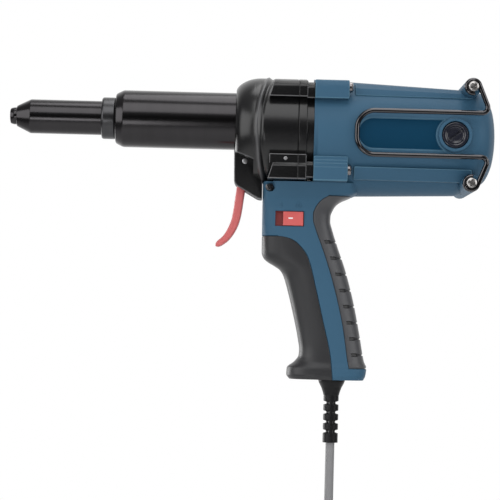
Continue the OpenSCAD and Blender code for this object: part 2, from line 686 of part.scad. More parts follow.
function front_depth(z) = z < front_rubber_top + edge_step / 2 ? rubber_t : 0;
function rear_depth(z) =
  z > rear_rubber_bottom - edge_step / 2 && z < rear_rubber_top + edge_step / 2 ? rubber_t : 0;
function shell_outer(z) = let (f = front_angle(z), r = rear_angle(z)) concat(
  [for (i = [0 : front_n]) outline(f * i / front_n, z, front_depth(z))],
  [for (i = [0 : stripe_n]) outline(f + gap_angle + (r - f - 2 * gap_angle) * i / stripe_n, z, 0)],
  [for (i = [0 : rear_n]) outline(i == rear_n ? 180 : r + (180 - r) * i / rear_n, z, rear_depth(z))]);
function shell_inner(z) = [for (i = [0 : ring_n - 1]) outline(180 * i / (ring_n - 1), z, inner_in)];
floor_t = 4;
function inner_height(z) = max(z, grip_bottom + floor_t + (z - grip_bottom) * 0.1);

module grip_shell() {
  n = ring_n;
  m = len(grip_heights);
  outer = [for (z = grip_heights) each shell_outer(z)];
  inner = [for (z = grip_heights) each shell_inner(inner_height(z))];
  o = 0;
  q = m * n;
  walls = [for (i = [0 : m - 2], j = [0 : n - 2], s = [0, 1])
    let (a = i * n + j, b = a + 1, c = b + n, d = a + n)
    each s == 0 ? [[a, c, b], [a, d, c]] : [[q + a, q + b, q + c], [q + a, q + c, q + d]]];
  rims = [for (i = [0 : m - 2], e = [0, 1]) let (a = i * n + e * (n - 1), d = a + n)
    each e == 0 ? [[a, q + a, q + d], [a, q + d, d]] : [[a, q + d, q + a], [a, d, q + d]]];
  t = (m - 1) * n;
  top = [for (j = [0 : n - 2]) each [[t + j, q + t + j, q + t + j + 1], [t + j, q + t + j + 1, t + j + 1]]];
  base = [[0, n - 1, q + n - 1], [0, q + n - 1, q]];
  polyhedron(concat(outer, inner), concat(walls, rims, top, base, cap(0, n, false), cap(q, n, true)));
}

module front_rubber() {
  n = 2 * (front_n + 1);
  pts = [for (z = front_heights) let (f = front_angle(z) - 0.3) each concat(
    [for (i = [0 : front_n]) outline(f * i / front_n, z, 0)],
    [for (i = [front_n : -1 : 0]) outline(f * i / front_n, z, rubber_t - rubber_gap)])];
  m = len(front_heights);
  polyhedron(pts, concat([for (f = skin_faces(m, n)) [f[0], f[2], f[1]]], strip_cap(0, n, false),
    strip_cap((m - 1) * n, n, true)));
}

groove_zs = [for (k = [groove_count - 1 : -1 : 0]) groove_top - groove_step * k];
rear_heights = concat([rear_rubber_bottom, -45.5],
  [for (g = groove_zs) each [g - 1, g - 0.5, g + 0.5, g + 1, g + 5.7]],
  [52, 56, 60, 64, 68, 71, 72.8, rear_rubber_top]);
function groove_at(z, a, r) =
  max([for (g = groove_zs) abs(z - g) < 0.6 ? 1 : 0])
    * groove_depth * min(1, max(0, 2.2 * (a - r) / (180 - r) - 0.9));

module rear_rubber() {
  n = 2 * (rear_n + 1);
  pts = [for (z = rear_heights) let (r = rear_angle(z) + 0.3) each concat(
    [for (i = [0 : rear_n]) let (a = i == rear_n ? 180 : r + (180 - r) * i / rear_n)
      outline(a, z, groove_at(z, a, r))],
    [for (i = [rear_n : -1 : 0]) outline(i == rear_n ? 180 : r + (180 - r) * i / rear_n, z,
      rubber_t - rubber_gap)])];
  m = len(rear_heights);
  polyhedron(pts, concat([for (f = skin_faces(m, n)) [f[0], f[2], f[1]]], strip_cap(0, n, false),
    strip_cap((m - 1) * n, n, true)));
}

module grip_left() color(rubber) {
  front_rubber();
  rear_rubber();
}
module grip_right() mirror([0, 1, 0]) grip_left();

// Motor housing halves
can_len = can_taper_end - band_rear;
can_slope = (can_front_r - can_rear_r) / can_len;
cap_r = can_rear_r - can_slope * 8;
function can_profile(grow) = [[0, housing_x + 2], [can_front_r - 0.4 + grow, housing_x + 2],
  [can_front_r + grow, band_rear], [cap_r + grow, can_taper_end + 8],
  [cap_r - 1.2 + grow, can_taper_end + 12.5],
  [cap_r - 3.8 + grow, rear_x - 4.6], [cap_r - 10, rear_x - 2.2], [cap_r - 20, rear_x - 0.7], [0, rear_x]];
module can(grow = 0) at_axis(motor_axis) revolve_x(can_profile(grow));
module can_cavity() at_axis(motor_axis) {
  s = stator_d / 2 + seat_gap;
  front_r = 32.5;
  r = can_front_r - can_wall;
  end_r = can_rear_r - can_wall;
  x = core_x;
  b = motor_brg;
  revolve_x([[0, housing_x - 1], [front_r, housing_x - 1], [front_r, x], [s, x], [s, x + seat_rib],
    [r - 1.2, x + seat_rib], [r - 2.2, x + core_len - seat_rib - 2], [s, x + core_len - seat_rib - 2],
    [s, x + core_len - 2], [r - 2.4, x + core_len - 2], [end_r, can_taper_end], [end_r - 1.5, rear_x - 8.5],
    [b[1] / 2 + 4, rear_x - 5], [b[1] / 2 + 4, motor_rear_x - 1], [b[1] / 2 + 0.02, motor_rear_x - 1],
    [b[1] / 2 + 0.02, motor_rear_x + b[2]], [inner_clear(b), motor_rear_x + b[2]],
    [inner_clear(b), motor_rear_x + b[2] + 2], [0, motor_rear_x + b[2] + 2]]);
}
module pill_prism(x0, x1, h, y0, y1) {
  rod_y(x0 + h / 2, motor_axis[1], y0, y1, h / 2);
  box([x0 + h / 2, y0, motor_axis[1] - h / 2], [x1, y1, motor_axis[1] + h / 2]);
}
module ribs() for (m = rib_mid) box([band_rear + 4.6, -36.5, case_axis[1] + m - 4.5],
  [can_taper_end + 2, -20, case_axis[1] + m + 4.5]);

module housing_outer() {
  can();
  at_axis(case_axis) rod_x(housing_x, band_rear, band_r);
  lugs(housing_x, band_rear, 0.8);
  at_axis([0, motor_axis[1] - keel_drop]) revolve_x([[0, housing_x + 4], [keel_r, housing_x + 4],
    [keel_r, band_rear + 6], [keel_r - 2.2, can_taper_end - 8], [keel_r - 6, can_taper_end + 2],
    [0, can_taper_end + 2]]);
  intersection() {
    ribs();
    can(3.2);
  }
  rod_y(brush_x, motor_axis[1], -39.4, -20, boss_ring_r);
  for (v = [-1, 1]) rod_y(hook_boss_x, motor_axis[1] + v * hook_boss_dz, -hook_boss_y, 6, hook_boss_r);
}

module housing_half() difference() {
  union() {
    difference() {
      intersection() {
        housing_outer();
        box([housing_x - 10, -80, 0], [rear_x + 10, 0, 220]);
      }
      can_cavity();
    }
    grip_shell();
    difference() {
      rod_y(brush_x, motor_axis[1], -36, -holder_in - 3, 10);
      at_axis(motor_axis) rod_x(brush_x - 20, brush_x + 20, commutator_d / 2 + 3);
    }
    rod_y(house_screw[0], house_screw[1], -22, 0, 3.2);
    rod_y(grip_screw[0], grip_screw[1], -14, 0, 4);
  }
  difference() {
    pill_prism(panel_front, brush_x - boss_ring_r + 4, panel_h, -60, -25);
    can(-panel_depth);
    rod_y(brush_x, motor_axis[1], -60, -20, boss_ring_r + 1.4);
  }
  rod_y(brush_x, motor_axis[1], -60, -cap_in, brush_cap_r + 0.2);
  box([brush_x - brush_size[0] / 2 - holder_wall - seat_gap, -cap_in - 1,
    motor_axis[1] - brush_size[1] / 2 - holder_wall - seat_gap],
    [brush_x + brush_size[0] / 2 + holder_wall + seat_gap, -5,
      motor_axis[1] + brush_size[1] / 2 + holder_wall + seat_gap]);
  for (v = [-1, 1]) rod_y(hook_boss_x, motor_axis[1] + v * hook_boss_dz, -60, 1,
    hook_screw_d / 2 + seat_gap);
  mirror([0, 1, 0]) case_screw_holes(housing_x - 1, band_rear + 1, case_screw_d / 2 + 0.2);
  case_screw_holes(band_rear, band_rear + 6.5, case_screw_d / 2 + 2.4);
  translate([0, 0, plunger_z - 4]) rod_x(-60, -30, 2.5);
  translate([cord_x, 0, grip_bottom - 1]) cylinder(h = floor_t + 2, r = cord_d / 2 + 2.3);
}

module housing_left() color(blue) difference() {
  housing_half();
  box([switch_x - switch_win[0] / 2, -40, switch_z - switch_win[1] / 2],
    [switch_x + switch_win[0] / 2, -8, switch_z + switch_win[1] / 2]);
  rod_y(house_screw[0], house_screw[1], -40, 1, house_screw_d / 2 + 0.1);
  rod_y(house_screw[0], house_screw[1], -40, -house_screw_y, house_screw_d + 0.1);
  rod_y(grip_screw[0], grip_screw[1], -12, 1, house_screw_d / 2);
}
module housing_right() color(blue) difference() {
  mirror([0, 1, 0]) housing_half();
  rod_y(house_screw[0], house_screw[1], -1, 12, house_screw_d / 2);
  rod_y(grip_screw[0], grip_screw[1], -1, 40, house_screw_d / 2 + 0.1);
  rod_y(grip_screw[0], grip_screw[1], grip_screw_y, 40, house_screw_d + 0.1);
}

// Motor
motor_z = motor_axis[1];
shaft_r = motor_brg[0] / 2 - 0.02;
armature_r = armature_d / 2;
stator_bore = armature_r + 0.6;
stator_r = stator_d / 2;
yoke_r = stator_r - 6;
pole_half = 52;
coil_end = 8;
commutator_x = brush_x - 8;

module armature_shaft() color(steel) at_axis(motor_axis) union() {
  gear(wheel_x - 1, wheel_x + wheel_face + 1, z1, module_1, angle_1);
  rod_x(wheel_x + wheel_face + 1, motor_rear_x + motor_brg[2], shaft_r);
}

module armature_core() color(dark_steel) at_axis(motor_axis) difference() {
  rod_x(core_x, core_x + core_len, armature_r);
  rod_x(core_x - 1, core_x + core_len + 1, shaft_r + 0.02);
  for (k = [0 : 11]) rotate([30 * k, 0, 0])
    box([core_x - 1, -1.2, armature_r - 7], [core_x + core_len + 1, 1.2, armature_r + 1]);
}

module winding_head(x0, x1) revolve_x([
  [shaft_r + 1.5, x0], [armature_r - 5, x0], [armature_r - 2.5, (x0 + x1) / 2 - 1], [armature_r - 2.5, x1],
  [shaft_r + 1.5, x1]]);
module armature_winding() color("#b4622d") at_axis(motor_axis) {
  winding_head(core_x - 8, core_x);
  translate([2 * (core_x + core_len) + 10, 0, 0]) mirror([1, 0, 0])
    winding_head(core_x + core_len, core_x + core_len + 10);
}

module commutator() color("#b87740") at_axis(motor_axis) revolve_x([
  [shaft_r + 0.02, commutator_x], [commutator_d / 2 + 1.2, commutator_x],
  [commutator_d / 2 + 1.2, commutator_x + 2],
  [commutator_d / 2, commutator_x + 2], [commutator_d / 2, commutator_x + 16],
  [shaft_r + 0.02, commutator_x + 16]]);

fan_r = 27;
fan_x = housing_x + 4;
module cooling_fan() color(black) at_axis(motor_axis) difference() {
  union() {
    rod_x(fan_x, fan_x + 12, 8);
    rod_x(fan_x + 9, fan_x + 11, fan_r);
    for (k = [0 : 10]) rotate([360 / 11 * k, 0, 0])
      box([fan_x + 2, -0.8, 7], [fan_x + 9.5, 0.8, fan_r - 1]);
  }
  rod_x(fan_x - 1, fan_x + 13, shaft_r + 0.02);
}

function fan_points(r, a0, a1, n) = [for (i = [0 : n]) let (a = a0 + (a1 - a0) * i / n)
  r * [cos(a), sin(a)]];
coil_in = stator_bore + 1;
coil_out = yoke_r - 0.8;
window_half = 90 - pole_half;
module stator_core() color(dark_steel) at_axis(motor_axis) difference() {
  rod_x(core_x, core_x + core_len, stator_r);
  rod_x(core_x - 1, core_x + core_len + 1, stator_bore);
  for (a = [90, 270]) section_x(core_x - 1, core_x + core_len + 1) polygon(concat(
    fan_points(yoke_r, a - window_half, a + window_half, 8),
    fan_points(stator_bore - 4, a + window_half, a - window_half, 2)));
}
module coil_bar(a0, a1) section_x(core_x - coil_end, core_x + core_len + coil_end) polygon(concat(
  fan_points(coil_out, a0, a1, 4), fan_points(coil_in, a1, a0, 4)));
module coil_turn(x) section_x(x, x + coil_end - 1) polygon(concat(
  fan_points(coil_out - 0.4, -66, 66, 12), fan_points(coil_in + 0.4, 66, -66, 12)));
module field_coils() color("#b4622d") at_axis(motor_axis) for (s = [0, 180]) rotate([s, 0, 0]) union() {
  coil_bar(pole_half + 2, 80);
  coil_bar(-80, -pole_half - 2);
  coil_turn(core_x - coil_end);
  coil_turn(core_x + core_len + 1);
}

// Brush gear, the same on both sides
module both_sides() for (s = [0, 1]) mirror([0, s, 0]) children();
module brush_box(grow, y0, y1) box([brush_x - brush_size[0] / 2 - grow, y0,
  motor_z - brush_size[1] / 2 - grow],
  [brush_x + brush_size[0] / 2 + grow, y1, motor_z + brush_size[1] / 2 + grow]);
module brush_holders() color("#b99b4f") both_sides() difference() {
  brush_box(holder_wall, -holder_out, -holder_in);
  brush_box(0.1, -holder_out - 1, -holder_in + 1);
}
brush_back = 23;
module carbon_brushes() color("#2a2a2c") both_sides() difference() {
  brush_box(0, -brush_back, -5);
  at_axis(motor_axis) rod_x(brush_x - 10, brush_x + 10, commutator_d / 2 + 0.3);
}
module brush_springs() color(steel) both_sides() translate([brush_x, 0, motor_z]) rotate([0, 0, -90])
  coil(brush_back + 0.05, cap_in - 0.4, 2.3, 0.45, 6);
module brush_caps() color(black) both_sides() difference() {
  union() {
    rod_y(brush_x, motor_z, -37.6, -cap_in, brush_cap_r);
    rod_y(brush_x, motor_z, -38.2, -37, brush_cap_r - 0.8);
  }
  rod_y(brush_x, motor_z, -40, -37.6, brush_cap_r - 3);
  translate([brush_x, -39, motor_z]) rotate([0, -38, 0]) cube([2 * brush_cap_r - 5, 5, 1.6], center = true);
}

// Power switch: body with a front that fills the window, and the slider on it
slider_x = switch_x + switch_win[0] / 2 - slider_len - slide_gap;
stem_x = slider_x + slider_len / 2;
switch_face = 14.3;
switch_body_y = 10;
module power_switch() color("#8c2622") difference() {
  union() {
    box([switch_x - 12, -switch_body_y, switch_z - 6.5], [switch_x + 12, -1, switch_z + 6.5]);
    box([switch_x - switch_win[0] / 2 + 0.1, -switch_face, switch_z - switch_win[1] / 2 + 0.1],
      [switch_x + switch_win[0] / 2 - 0.1, 0.5 - switch_body_y, switch_z + switch_win[1] / 2 - 0.1]);
  }
  box([stem_x - 2 - switch_travel - slide_gap, -20, switch_z - 2.4],
    [stem_x + 2 + slide_gap, -7, switch_z + 2.4]);
}
module switch_slider() color(red) union() {
  box([slider_x, -18.3, switch_z - switch_win[1] / 2 + slide_gap],
    [slider_x + slider_len, -switch_face - slide_gap, switch_z + switch_win[1] / 2 - slide_gap]);
  box([stem_x - 2, -15, switch_z - 2], [stem_x + 2, -7.4, switch_z + 2]);
}

board_top = grip_screw[1] - 4.4;
module control_board() color("#2f6b45") union() {
  box([-8, -0.8, board_top - 40], [14, 0.8, board_top]);
  box([-6, -6, board_top - 14], [4, -0.7, board_top - 3]);
  box([4, 0.7, board_top - 30], [12, 7, board_top - 16]);
  for (k = [0, 1]) rod_y(8, board_top - 8 - 9 * k, -8, -0.7, 3.4);
  for (k = [0 : 3]) box([-5 + 4 * k, -4, board_top - 38], [-2.4 + 4 * k, -0.7, board_top - 33]);
}

// Hook wire: two legs, a round front end, corners and an eye at each end
corner_c = [wire_corner_x, wire_leg_dz + wire_corner_r];
eye_c = [hook_boss_x, hook_boss_dz];
eye_span = eye_c - corner_c;
lead_angle = atan2(eye_span[1], eye_span[0]) + asin((wire_corner_r - eye_r) / norm(eye_span));
eye_sweep = 262;
lead_len = sqrt(pow(norm(eye_span), 2) - pow(wire_corner_r - eye_r, 2));
function arc_points(c, r, a0, sweep, n) = [for (i = [0 : n]) let (a = a0 + sweep * i / n)
  [c[0] + r * cos(a), wire_y, c[1] + r * sin(a)]];
hook_upper = concat(
  arc_points([wire_bend_x, wire_leg_dz - wire_bend_r], wire_bend_r, 180, -90, 8),
  arc_points(corner_c, wire_corner_r, -90, lead_angle, 6),
  arc_points(eye_c, eye_r, lead_angle - 90, eye_sweep, 16));
hook_lower = [for (q = hook_upper) [q[0], q[1], -q[2]]];
module belt_hook() color("#d4d6d9") translate([0, 0, motor_z])
  tube(concat(backwards(hook_lower), hook_upper), wire_d / 2, 12);

// Screws
module cross_slot(d) for (a = [0, 90]) rotate([0, 0, a]) translate([-d / 2, -d / 10, 0])
  cube([d, d / 5, d]);
module pan_screw(d, length, head_d, head_h) {
  translate([0, 0, -length]) cylinder(h = length, r = d / 2);
  difference() {
    rotate_extrude() polygon([[0, 0], [head_d / 2, 0], [head_d / 2, head_h * 0.5],
      [head_d / 2 - head_h * 0.4, head_h],
      [0, head_h]]);
    translate([0, 0, head_h * 0.45]) cross_slot(head_d * 0.55);
  }
}
module hook_screws() color("#c9c4bf") for (v = [-1, 1])
  translate([hook_boss_x, wire_y - wire_d / 2 - 0.05, motor_z + v * hook_boss_dz]) rotate([90, 0, 0])
    pan_screw(hook_screw_d, 62, 7.2, 2.6);
case_head_h = 3;
module case_screws() color("#c9c4bf") for (s = [-1, 1], v = [-1, 1])
  translate([band_rear, s * lug_y, case_axis[1] + v * lug_dz]) rotate([0, 90, 0])
    pan_screw(case_screw_d, band_rear - seam_x + case_screw_grip, case_screw_d + 3.4, case_head_h);
module housing_screws() color("#c9c4bf") {
  translate([house_screw[0], -house_screw_y, house_screw[1]]) rotate([90, 0, 0])
    pan_screw(house_screw_d - 0.1, house_screw_y + 10, 6.6, 2.4);
  translate([grip_screw[0], grip_screw_y, grip_screw[1]]) rotate([-90, 0, 0])
    pan_screw(house_screw_d - 0.1, grip_screw_y + 9, 6.6, 2.4);
}
clamp_z = -44;
module small_screws() color("#c9c4bf") {
  plate_screw_at() translate([plate_x + plate_t, 0, 0]) rotate([0, 90, 0])
    pan_screw(2.9, plate_t + 7, 5.4, 2);
  for (s = [-1, 1]) translate([cord_x + s * 7, 7, clamp_z]) rotate([-90, 0, 0]) pan_screw(2.9, 11, 5.4, 2);
}

// Cord: clamp, strain relief, drop, hank, tie and plug
module cord_clamp() color(black) difference() {
  box([cord_x - 10, 0.6, clamp_z - 3], [cord_x + 10, 7, clamp_z + 3]);
  translate([cord_x, 0, clamp_z - 10]) cylinder(h = 20, r = cord_d / 2 + seat_gap);
  for (s = [-1, 1]) rod_y(cord_x + s * 7, clamp_z, -1, 8, 1.5);
}
rib_pitch = (relief_cone_z - relief_end_z) / rib_count;
rib_r = cord_d / 2 + 2.3;
neck_r = cord_d / 2 + 2.2;
module strain_relief() color(black) translate([cord_x, 0, 0]) rotate_extrude() polygon(concat(
  [[0, clamp_z + 4], [cord_d / 2, clamp_z + 4], [cord_d / 2, grip_bottom + floor_t + 2.5],
    [neck_r + 2, grip_bottom + floor_t + 2.5], [neck_r + 2, grip_bottom + floor_t + 0.1],
    [neck_r, grip_bottom + floor_t + 0.1],
    [neck_r, grip_bottom - 0.1], [relief_flange_r, grip_bottom - 0.1], [relief_flange_r, grip_bottom - 1.2],
    [neck_r + 2.2, grip_bottom - 5.4], [neck_r + 0.5, relief_cone_z]],
  [for (k = [0 : rib_count - 1]) let (z = relief_cone_z - rib_pitch * k)
    each [[rib_r, z - 0.6], [rib_r, z - rib_pitch + 2.2], [rib_r - rib_groove, z - rib_pitch + 1.9],
      [rib_r - rib_groove, z - rib_pitch + 0.3]]],
  [[rib_r - rib_groove, relief_end_z], [0, relief_end_z]]));

module power_cord() color("#55565a") tube(concat([for (p = cord_drop) if (p[2] > run_top_z) p],
  [[cord_x, 0, run_top_z + cord_d]]), cord_d / 2, 10);

function hank_r(t) = t < hank_turns / 2 ? outer_fold_r - loop_step * t
  : fold_r + loop_step * (t - hank_turns / 2);
function ease(u) = u <= 0 ? 0 : u >= 1 ? 1 : u * u * (3 - 2 * u);
function drawn(u) = 1 - waist * pow(sin(180 * u), 2);
function hank_point(i) =
  let (t = i / loop_rings, q = floor((i % loop_rings) / (loop_rings / 4)),
    u = (i % loop_rings) / (loop_rings / 4) - q,
    r = hank_r(t), y = layer_step * ease((t - hank_turns / 2) * 4))
  q == 0 ? [hank_x + r * drawn(u), y, run_top_z - run_len * u] :
  q == 1 ? [hank_x + r * cos(180 * u), y, run_top_z - run_len - r * sin(180 * u)] :
  q == 2 ? [hank_x - r * drawn(u), y, run_top_z - run_len + run_len * u] :
  [hank_x - r * cos(180 * u), y, run_top_z + r * sin(180 * u)];
hank_path = concat([[cord_x, 0, run_top_z + cord_d]],
  [for (i = [0 : hank_turns * loop_rings]) hank_point(i)],
  [for (z = [run_top_z - 22 : -22 : plug_z + 4]) [cord_x, layer_step, z]], [[cord_x, layer_step, plug_z]]);
module cord_hank() color("#55565a") tube(hank_path, cord_d / 2, 6);
function self_gap(p, r) = min([for (i = [0 : len(p) - 1], j = [i + 8 : len(p) - 1]) norm(p[i] - p[j])])
  - 2 * r;
echo(hank_gap = self_gap(hank_path, cord_d / 2));

tie_half = outer_fold_r * (1 - waist) + cord_d / 2 + 0.4;
tie_t = 1.2;
tie_y0 = -cord_d / 2 - 0.4;
tie_y1 = layer_step + cord_d / 2 + 0.4;
tie_h = 14;
module tie_loop(grow, z0, z1) translate([0, 0, z0]) linear_extrude(z1 - z0)
  translate([hank_x - tie_half - grow, tie_y0 - grow])
    square([2 * (tie_half + grow), tie_y1 - tie_y0 + 2 * grow]);
tie_z = run_top_z - run_len / 2;
module cord_tie() color("#2b2b2d") difference() {
  tie_loop(tie_t, tie_z - tie_h / 2, tie_z + tie_h / 2);
  tie_loop(0, tie_z - tie_h, tie_z + tie_h);
}

plug_h = 38;
pin_pitch = 19;
plug_pin_d = 4.8;
plug_pin_len = 19;
// Each pin stands on the plug's face by a shoulder, and its thinner root is moulded in
pin_root_d = plug_pin_d - 1;
pin_root_len = 9;
module mains_plug() color(black) translate([cord_x, layer_step, plug_z]) difference() {
  intersection() {
    rotate_extrude() polygon([[0, 0], [cord_d / 2 + 1.6, 0], [cord_d / 2 + 2.6, -12], [11.5, -15],
      [15, -20], [16.5, -28],
      [16.5, 1 - plug_h], [15.5, -plug_h], [0, -plug_h]]);
    box([-40, -11, -plug_h - 1], [40, 11, 1]);
  }
  for (s = [-1, 1]) translate([s * pin_pitch / 2, 0, -plug_h - 1])
    cylinder(h = pin_root_len + 2, r = pin_root_d / 2 + 0.02);
}
module plug_pins() color(steel) for (s = [-1, 1])
  translate([cord_x + s * pin_pitch / 2, layer_step, plug_z - plug_h])
  translate([0, 0, -plug_pin_len]) rotate_extrude()
    polygon([[0, 0], [plug_pin_d / 2 - 1, 0], [plug_pin_d / 2, 1.2],
    [plug_pin_d / 2, plug_pin_len], [pin_root_d / 2, plug_pin_len],
    [pin_root_d / 2, plug_pin_len + pin_root_len],
    [0, plug_pin_len + pin_root_len]]);

housing_left();
housing_right();
grip_left();
grip_right();
gear_case_front();
gear_case_rear();
gear_plate();
outer_barrel();
barrel_collar();
front_sleeve();
nosepiece();
guide_bush();
bearing_outer_rings();
bearing_balls();
stator_core();
field_coils();
brush_holders();
carbon_brushes();
brush_springs();
brush_caps();
trigger_pin();
trigger_switch();
power_switch();
control_board();
cord_clamp();
strain_relief();
belt_hook();
hook_screws();
case_screws();
housing_screws();
small_screws();
armature_shaft();
armature_core();
armature_winding();
commutator();
cooling_fan();
armature_inner_rings();
idler_shaft();
idler_wheel();
idler_inner_rings();
drive_nut();
drive_gear();
nut_inner_rings();
lead_screw();
pull_rod();
rod_lock_nut();
jaw_case();
jaws();
jaw_pusher();
jaw_spring();
trigger();
trigger_plunger();
switch_slider();
power_cord();
cord_hank();
cord_tie();
mains_plug();
plug_pins();
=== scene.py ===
import bpy
import bmesh
import numpy as np
from mathutils import Matrix


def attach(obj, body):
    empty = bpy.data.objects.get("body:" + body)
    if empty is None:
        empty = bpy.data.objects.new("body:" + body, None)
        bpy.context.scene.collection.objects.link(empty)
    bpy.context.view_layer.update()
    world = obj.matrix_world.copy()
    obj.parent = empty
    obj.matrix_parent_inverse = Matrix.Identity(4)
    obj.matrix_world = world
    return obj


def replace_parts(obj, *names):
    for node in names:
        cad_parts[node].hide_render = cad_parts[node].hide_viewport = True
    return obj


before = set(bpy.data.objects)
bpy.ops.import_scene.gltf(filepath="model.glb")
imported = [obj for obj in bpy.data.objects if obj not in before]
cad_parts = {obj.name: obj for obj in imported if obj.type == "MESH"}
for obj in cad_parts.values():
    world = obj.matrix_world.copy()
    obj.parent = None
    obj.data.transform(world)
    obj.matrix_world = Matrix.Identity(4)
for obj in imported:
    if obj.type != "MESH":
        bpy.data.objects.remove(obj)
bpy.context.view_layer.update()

# View and studio: the tool is held in the air before a white wall and seen from its left side, a
# little from below. Soft lamps hang over and before it, and the room in front of it is dim.
scene = bpy.context.scene
scene.view_settings.view_transform = "Standard"
view_point = np.array([-0.050, 0.0, 0.0346])
view_rise, view_roll = np.radians(2.0), np.radians(1.5)
view_far, view_half = 1.5, 0.18


def unit(way):
    """The same directions at length 1."""
    return way / np.linalg.norm(way, axis=-1, keepdims=True)


def placed(thing, axes, place):
    """Puts an object into the scene, with its three axes and its place in metres."""
    stand = np.eye(4)
    stand[:3, :3], stand[:3, 3] = np.column_stack(axes), place
    thing.matrix_world = Matrix(stand.tolist())
    scene.collection.objects.link(thing)


ahead = np.array([0.0, np.cos(view_rise), np.sin(view_rise)])
right = np.array([np.cos(view_roll), 0.0, np.sin(view_roll)])
right = unit(right - ahead * (right @ ahead))
camera = bpy.data.objects.new("camera", bpy.data.cameras.new("camera"))
camera.data.angle = float(2 * np.arctan(view_half / view_far))
placed(camera, (right, np.cross(right, ahead), -ahead), view_point - view_far * ahead)
scene.camera = camera


def node(tree, kind, given=(), **fields):
    """The outputs of a new shader node. Each given input takes a value or is wired to an output."""
    made = tree.nodes.new("ShaderNode" + kind)
    for field, value in fields.items():
        setattr(made, field, value)
    for socket, value in dict(given).items():
        if isinstance(value, bpy.types.NodeSocket):
            tree.links.new(value, made.inputs[socket])
        else:
            made.inputs[socket].default_value = value
    return made.outputs


def mixed(tree, share, low, high):
    """A colour between two others, by a share from 0 to 1."""
    return node(tree, "Mix", {0: share, 6: low, 7: high}, data_type="RGBA")[2]


studio = bpy.data.worlds.new("studio")
scene.world = studio
studio.use_nodes = True
sky = studio.node_tree
sky.nodes.clear()
sky_way = node(sky, "SeparateXYZ", {0: node(sky, "TexCoord")["Generated"]})
sky_height = node(sky, "MapRange", {"Value": sky_way["Z"], "From Min": -1})[0]
room = sky.nodes.new("ShaderNodeValToRGB")
sky.links.new(sky_height, room.inputs[0])
room_tones = room.color_ramp.elements
room_tones[0].color = (0.16, 0.16, 0.165, 1)
room_tones[1].color = (0.4, 0.4, 0.4, 1)
for height, tone in ((0.3, 0.16), (0.38, 0.12), (0.43, 0.05), (0.54, 0.03), (0.6, 0.1), (0.8, 0.22)):
    room_tones.new(height).color = (tone, tone, tone * 1.03, 1)
wall = node(sky, "MapRange", {"Value": sky_way["Y"], "From Min": 0.15, "From Max": 0.75},
            interpolation_type="SMOOTHSTEP")[0]
white = (1, 1, 1, 1)
sky_tone = mixed(sky, wall, room.outputs[0], white)
sky_seen = mixed(sky, node(sky, "LightPath")["Is Camera Ray"], sky_tone, white)
node(sky, "OutputWorld", {0: node(sky, "Background", {0: sky_seen})[0]})


def lamp(name, place, aim, size, watts, shown=True):
    """A square soft lamp at place that shines towards aim. One that isn't shown leaves no image in
    gloss."""
    light = bpy.data.lights.new(name, "AREA")
    light.size, light.energy = size, watts
    holder = bpy.data.objects.new(name, light)
    holder.visible_glossy = shown
    away = unit(np.array(place, float) - aim)
    side = unit(np.cross([0.02, 0.0, 1.0], away))
    placed(holder, (side, np.cross(away, side), away), place)


tool_middle = (0, 0, 0.1)
lamp("lamp_front", (-0.15, -1.2, 1.25), tool_middle, 1.15, 8)
lamp("lamp_over", (0.1, 0.1, 1.6), tool_middle, 1.05, 8.5)
lamp("lamp_fill", (0.2, -1.7, -0.1), tool_middle, 1.0, 10, shown=False)
lamp("lamp_card", (-0.36, -1.2, -0.3), (-0.18, 0, 0.127), 0.3, 1.0)
lamp("lamp_rim", (-1.1, 0.7, 0.05), (0, 0, 0), 0.8, 8)
lamp("lamp_left", (-1.4, -1.0, 0.4), tool_middle, 1.4, 13)
lamp("lamp_right", (1.5, -0.9, 0.5), tool_middle, 1.2, 10)


def full_turn(count):
    """A row of that many even angles round a circle."""
    return np.linspace(0, 2 * np.pi, count, endpoint=False)[None, :]


def upright(x, y, r, z):
    """Points round an upright axis at x and y: each row has its radii and its height."""
    turn = full_turn(np.shape(r)[1])
    return np.stack([x + r * np.cos(turn), y + r * np.sin(turn), z + 0 * r], -1)


def faced(grid, loop=False, ends=(True, True), edge=None):
    """Points and faces of a grid in millimetres: rows along the part, columns around it. Every four
    neighbours make a face. A closed end is one face over its row, and loop joins both ends."""
    rows, cols = grid.shape[:2]
    number = np.arange(rows * cols).reshape(rows, cols)
    mark = np.hstack([number, number[:, :1]])
    mark = np.vstack([mark, mark[:1]]) if loop else mark
    quads = np.stack([mark[:-1, :-1], mark[1:, :-1], mark[1:, 1:], mark[:-1, 1:]], -1)
    caps = [] if loop else [number[0]] * ends[0] + [number[-1, ::-1]] * ends[1]
    edge = np.zeros(rows * cols) if edge is None else edge.ravel()
    return grid.reshape(-1, 3), quads.reshape(-1, 4), caps, edge


def flipped(part):
    """The same part on the other side of the tool's middle plane."""
    return part[0] * [1, -1, 1], part[1][:, ::-1], [cap[::-1] for cap in part[2]], part[3]


def shaped(name, parts, mat, sharp=40.0):
    """One object from several gridded parts. Points that coincide are joined, the faces are turned
    outwards, and edges sharper than that angle stay crisp."""
    shift = np.cumsum([0] + [len(part[0]) for part in parts])
    faces = [face for part, start in zip(parts, shift)
             for face in (part[1] + start).tolist() + [(cap + start).tolist() for cap in part[2]]]
    mesh = bpy.data.meshes.new(name)
    mesh.from_pydata((np.vstack([part[0] for part in parts]) * 0.001).tolist(), [], faces)
    # The edge attribute holds the marks for wear and a painted highlight along edges.
    rim = mesh.attributes.new("edge", "FLOAT", "POINT")
    rim.data.foreach_set("value", np.concatenate([part[3] for part in parts]))
    work = bmesh.new()
    work.from_mesh(mesh)
    bmesh.ops.remove_doubles(work, verts=work.verts, dist=2e-6)
    bmesh.ops.recalc_face_normals(work, faces=work.faces)
    work.to_mesh(mesh)
    work.free()
    mesh.shade_smooth()
    mesh.set_sharp_from_angle(angle=float(np.radians(sharp)))
    mesh.materials.append(mat)
    made = bpy.data.objects.new(name, mesh)
    scene.collection.objects.link(made)
    return made


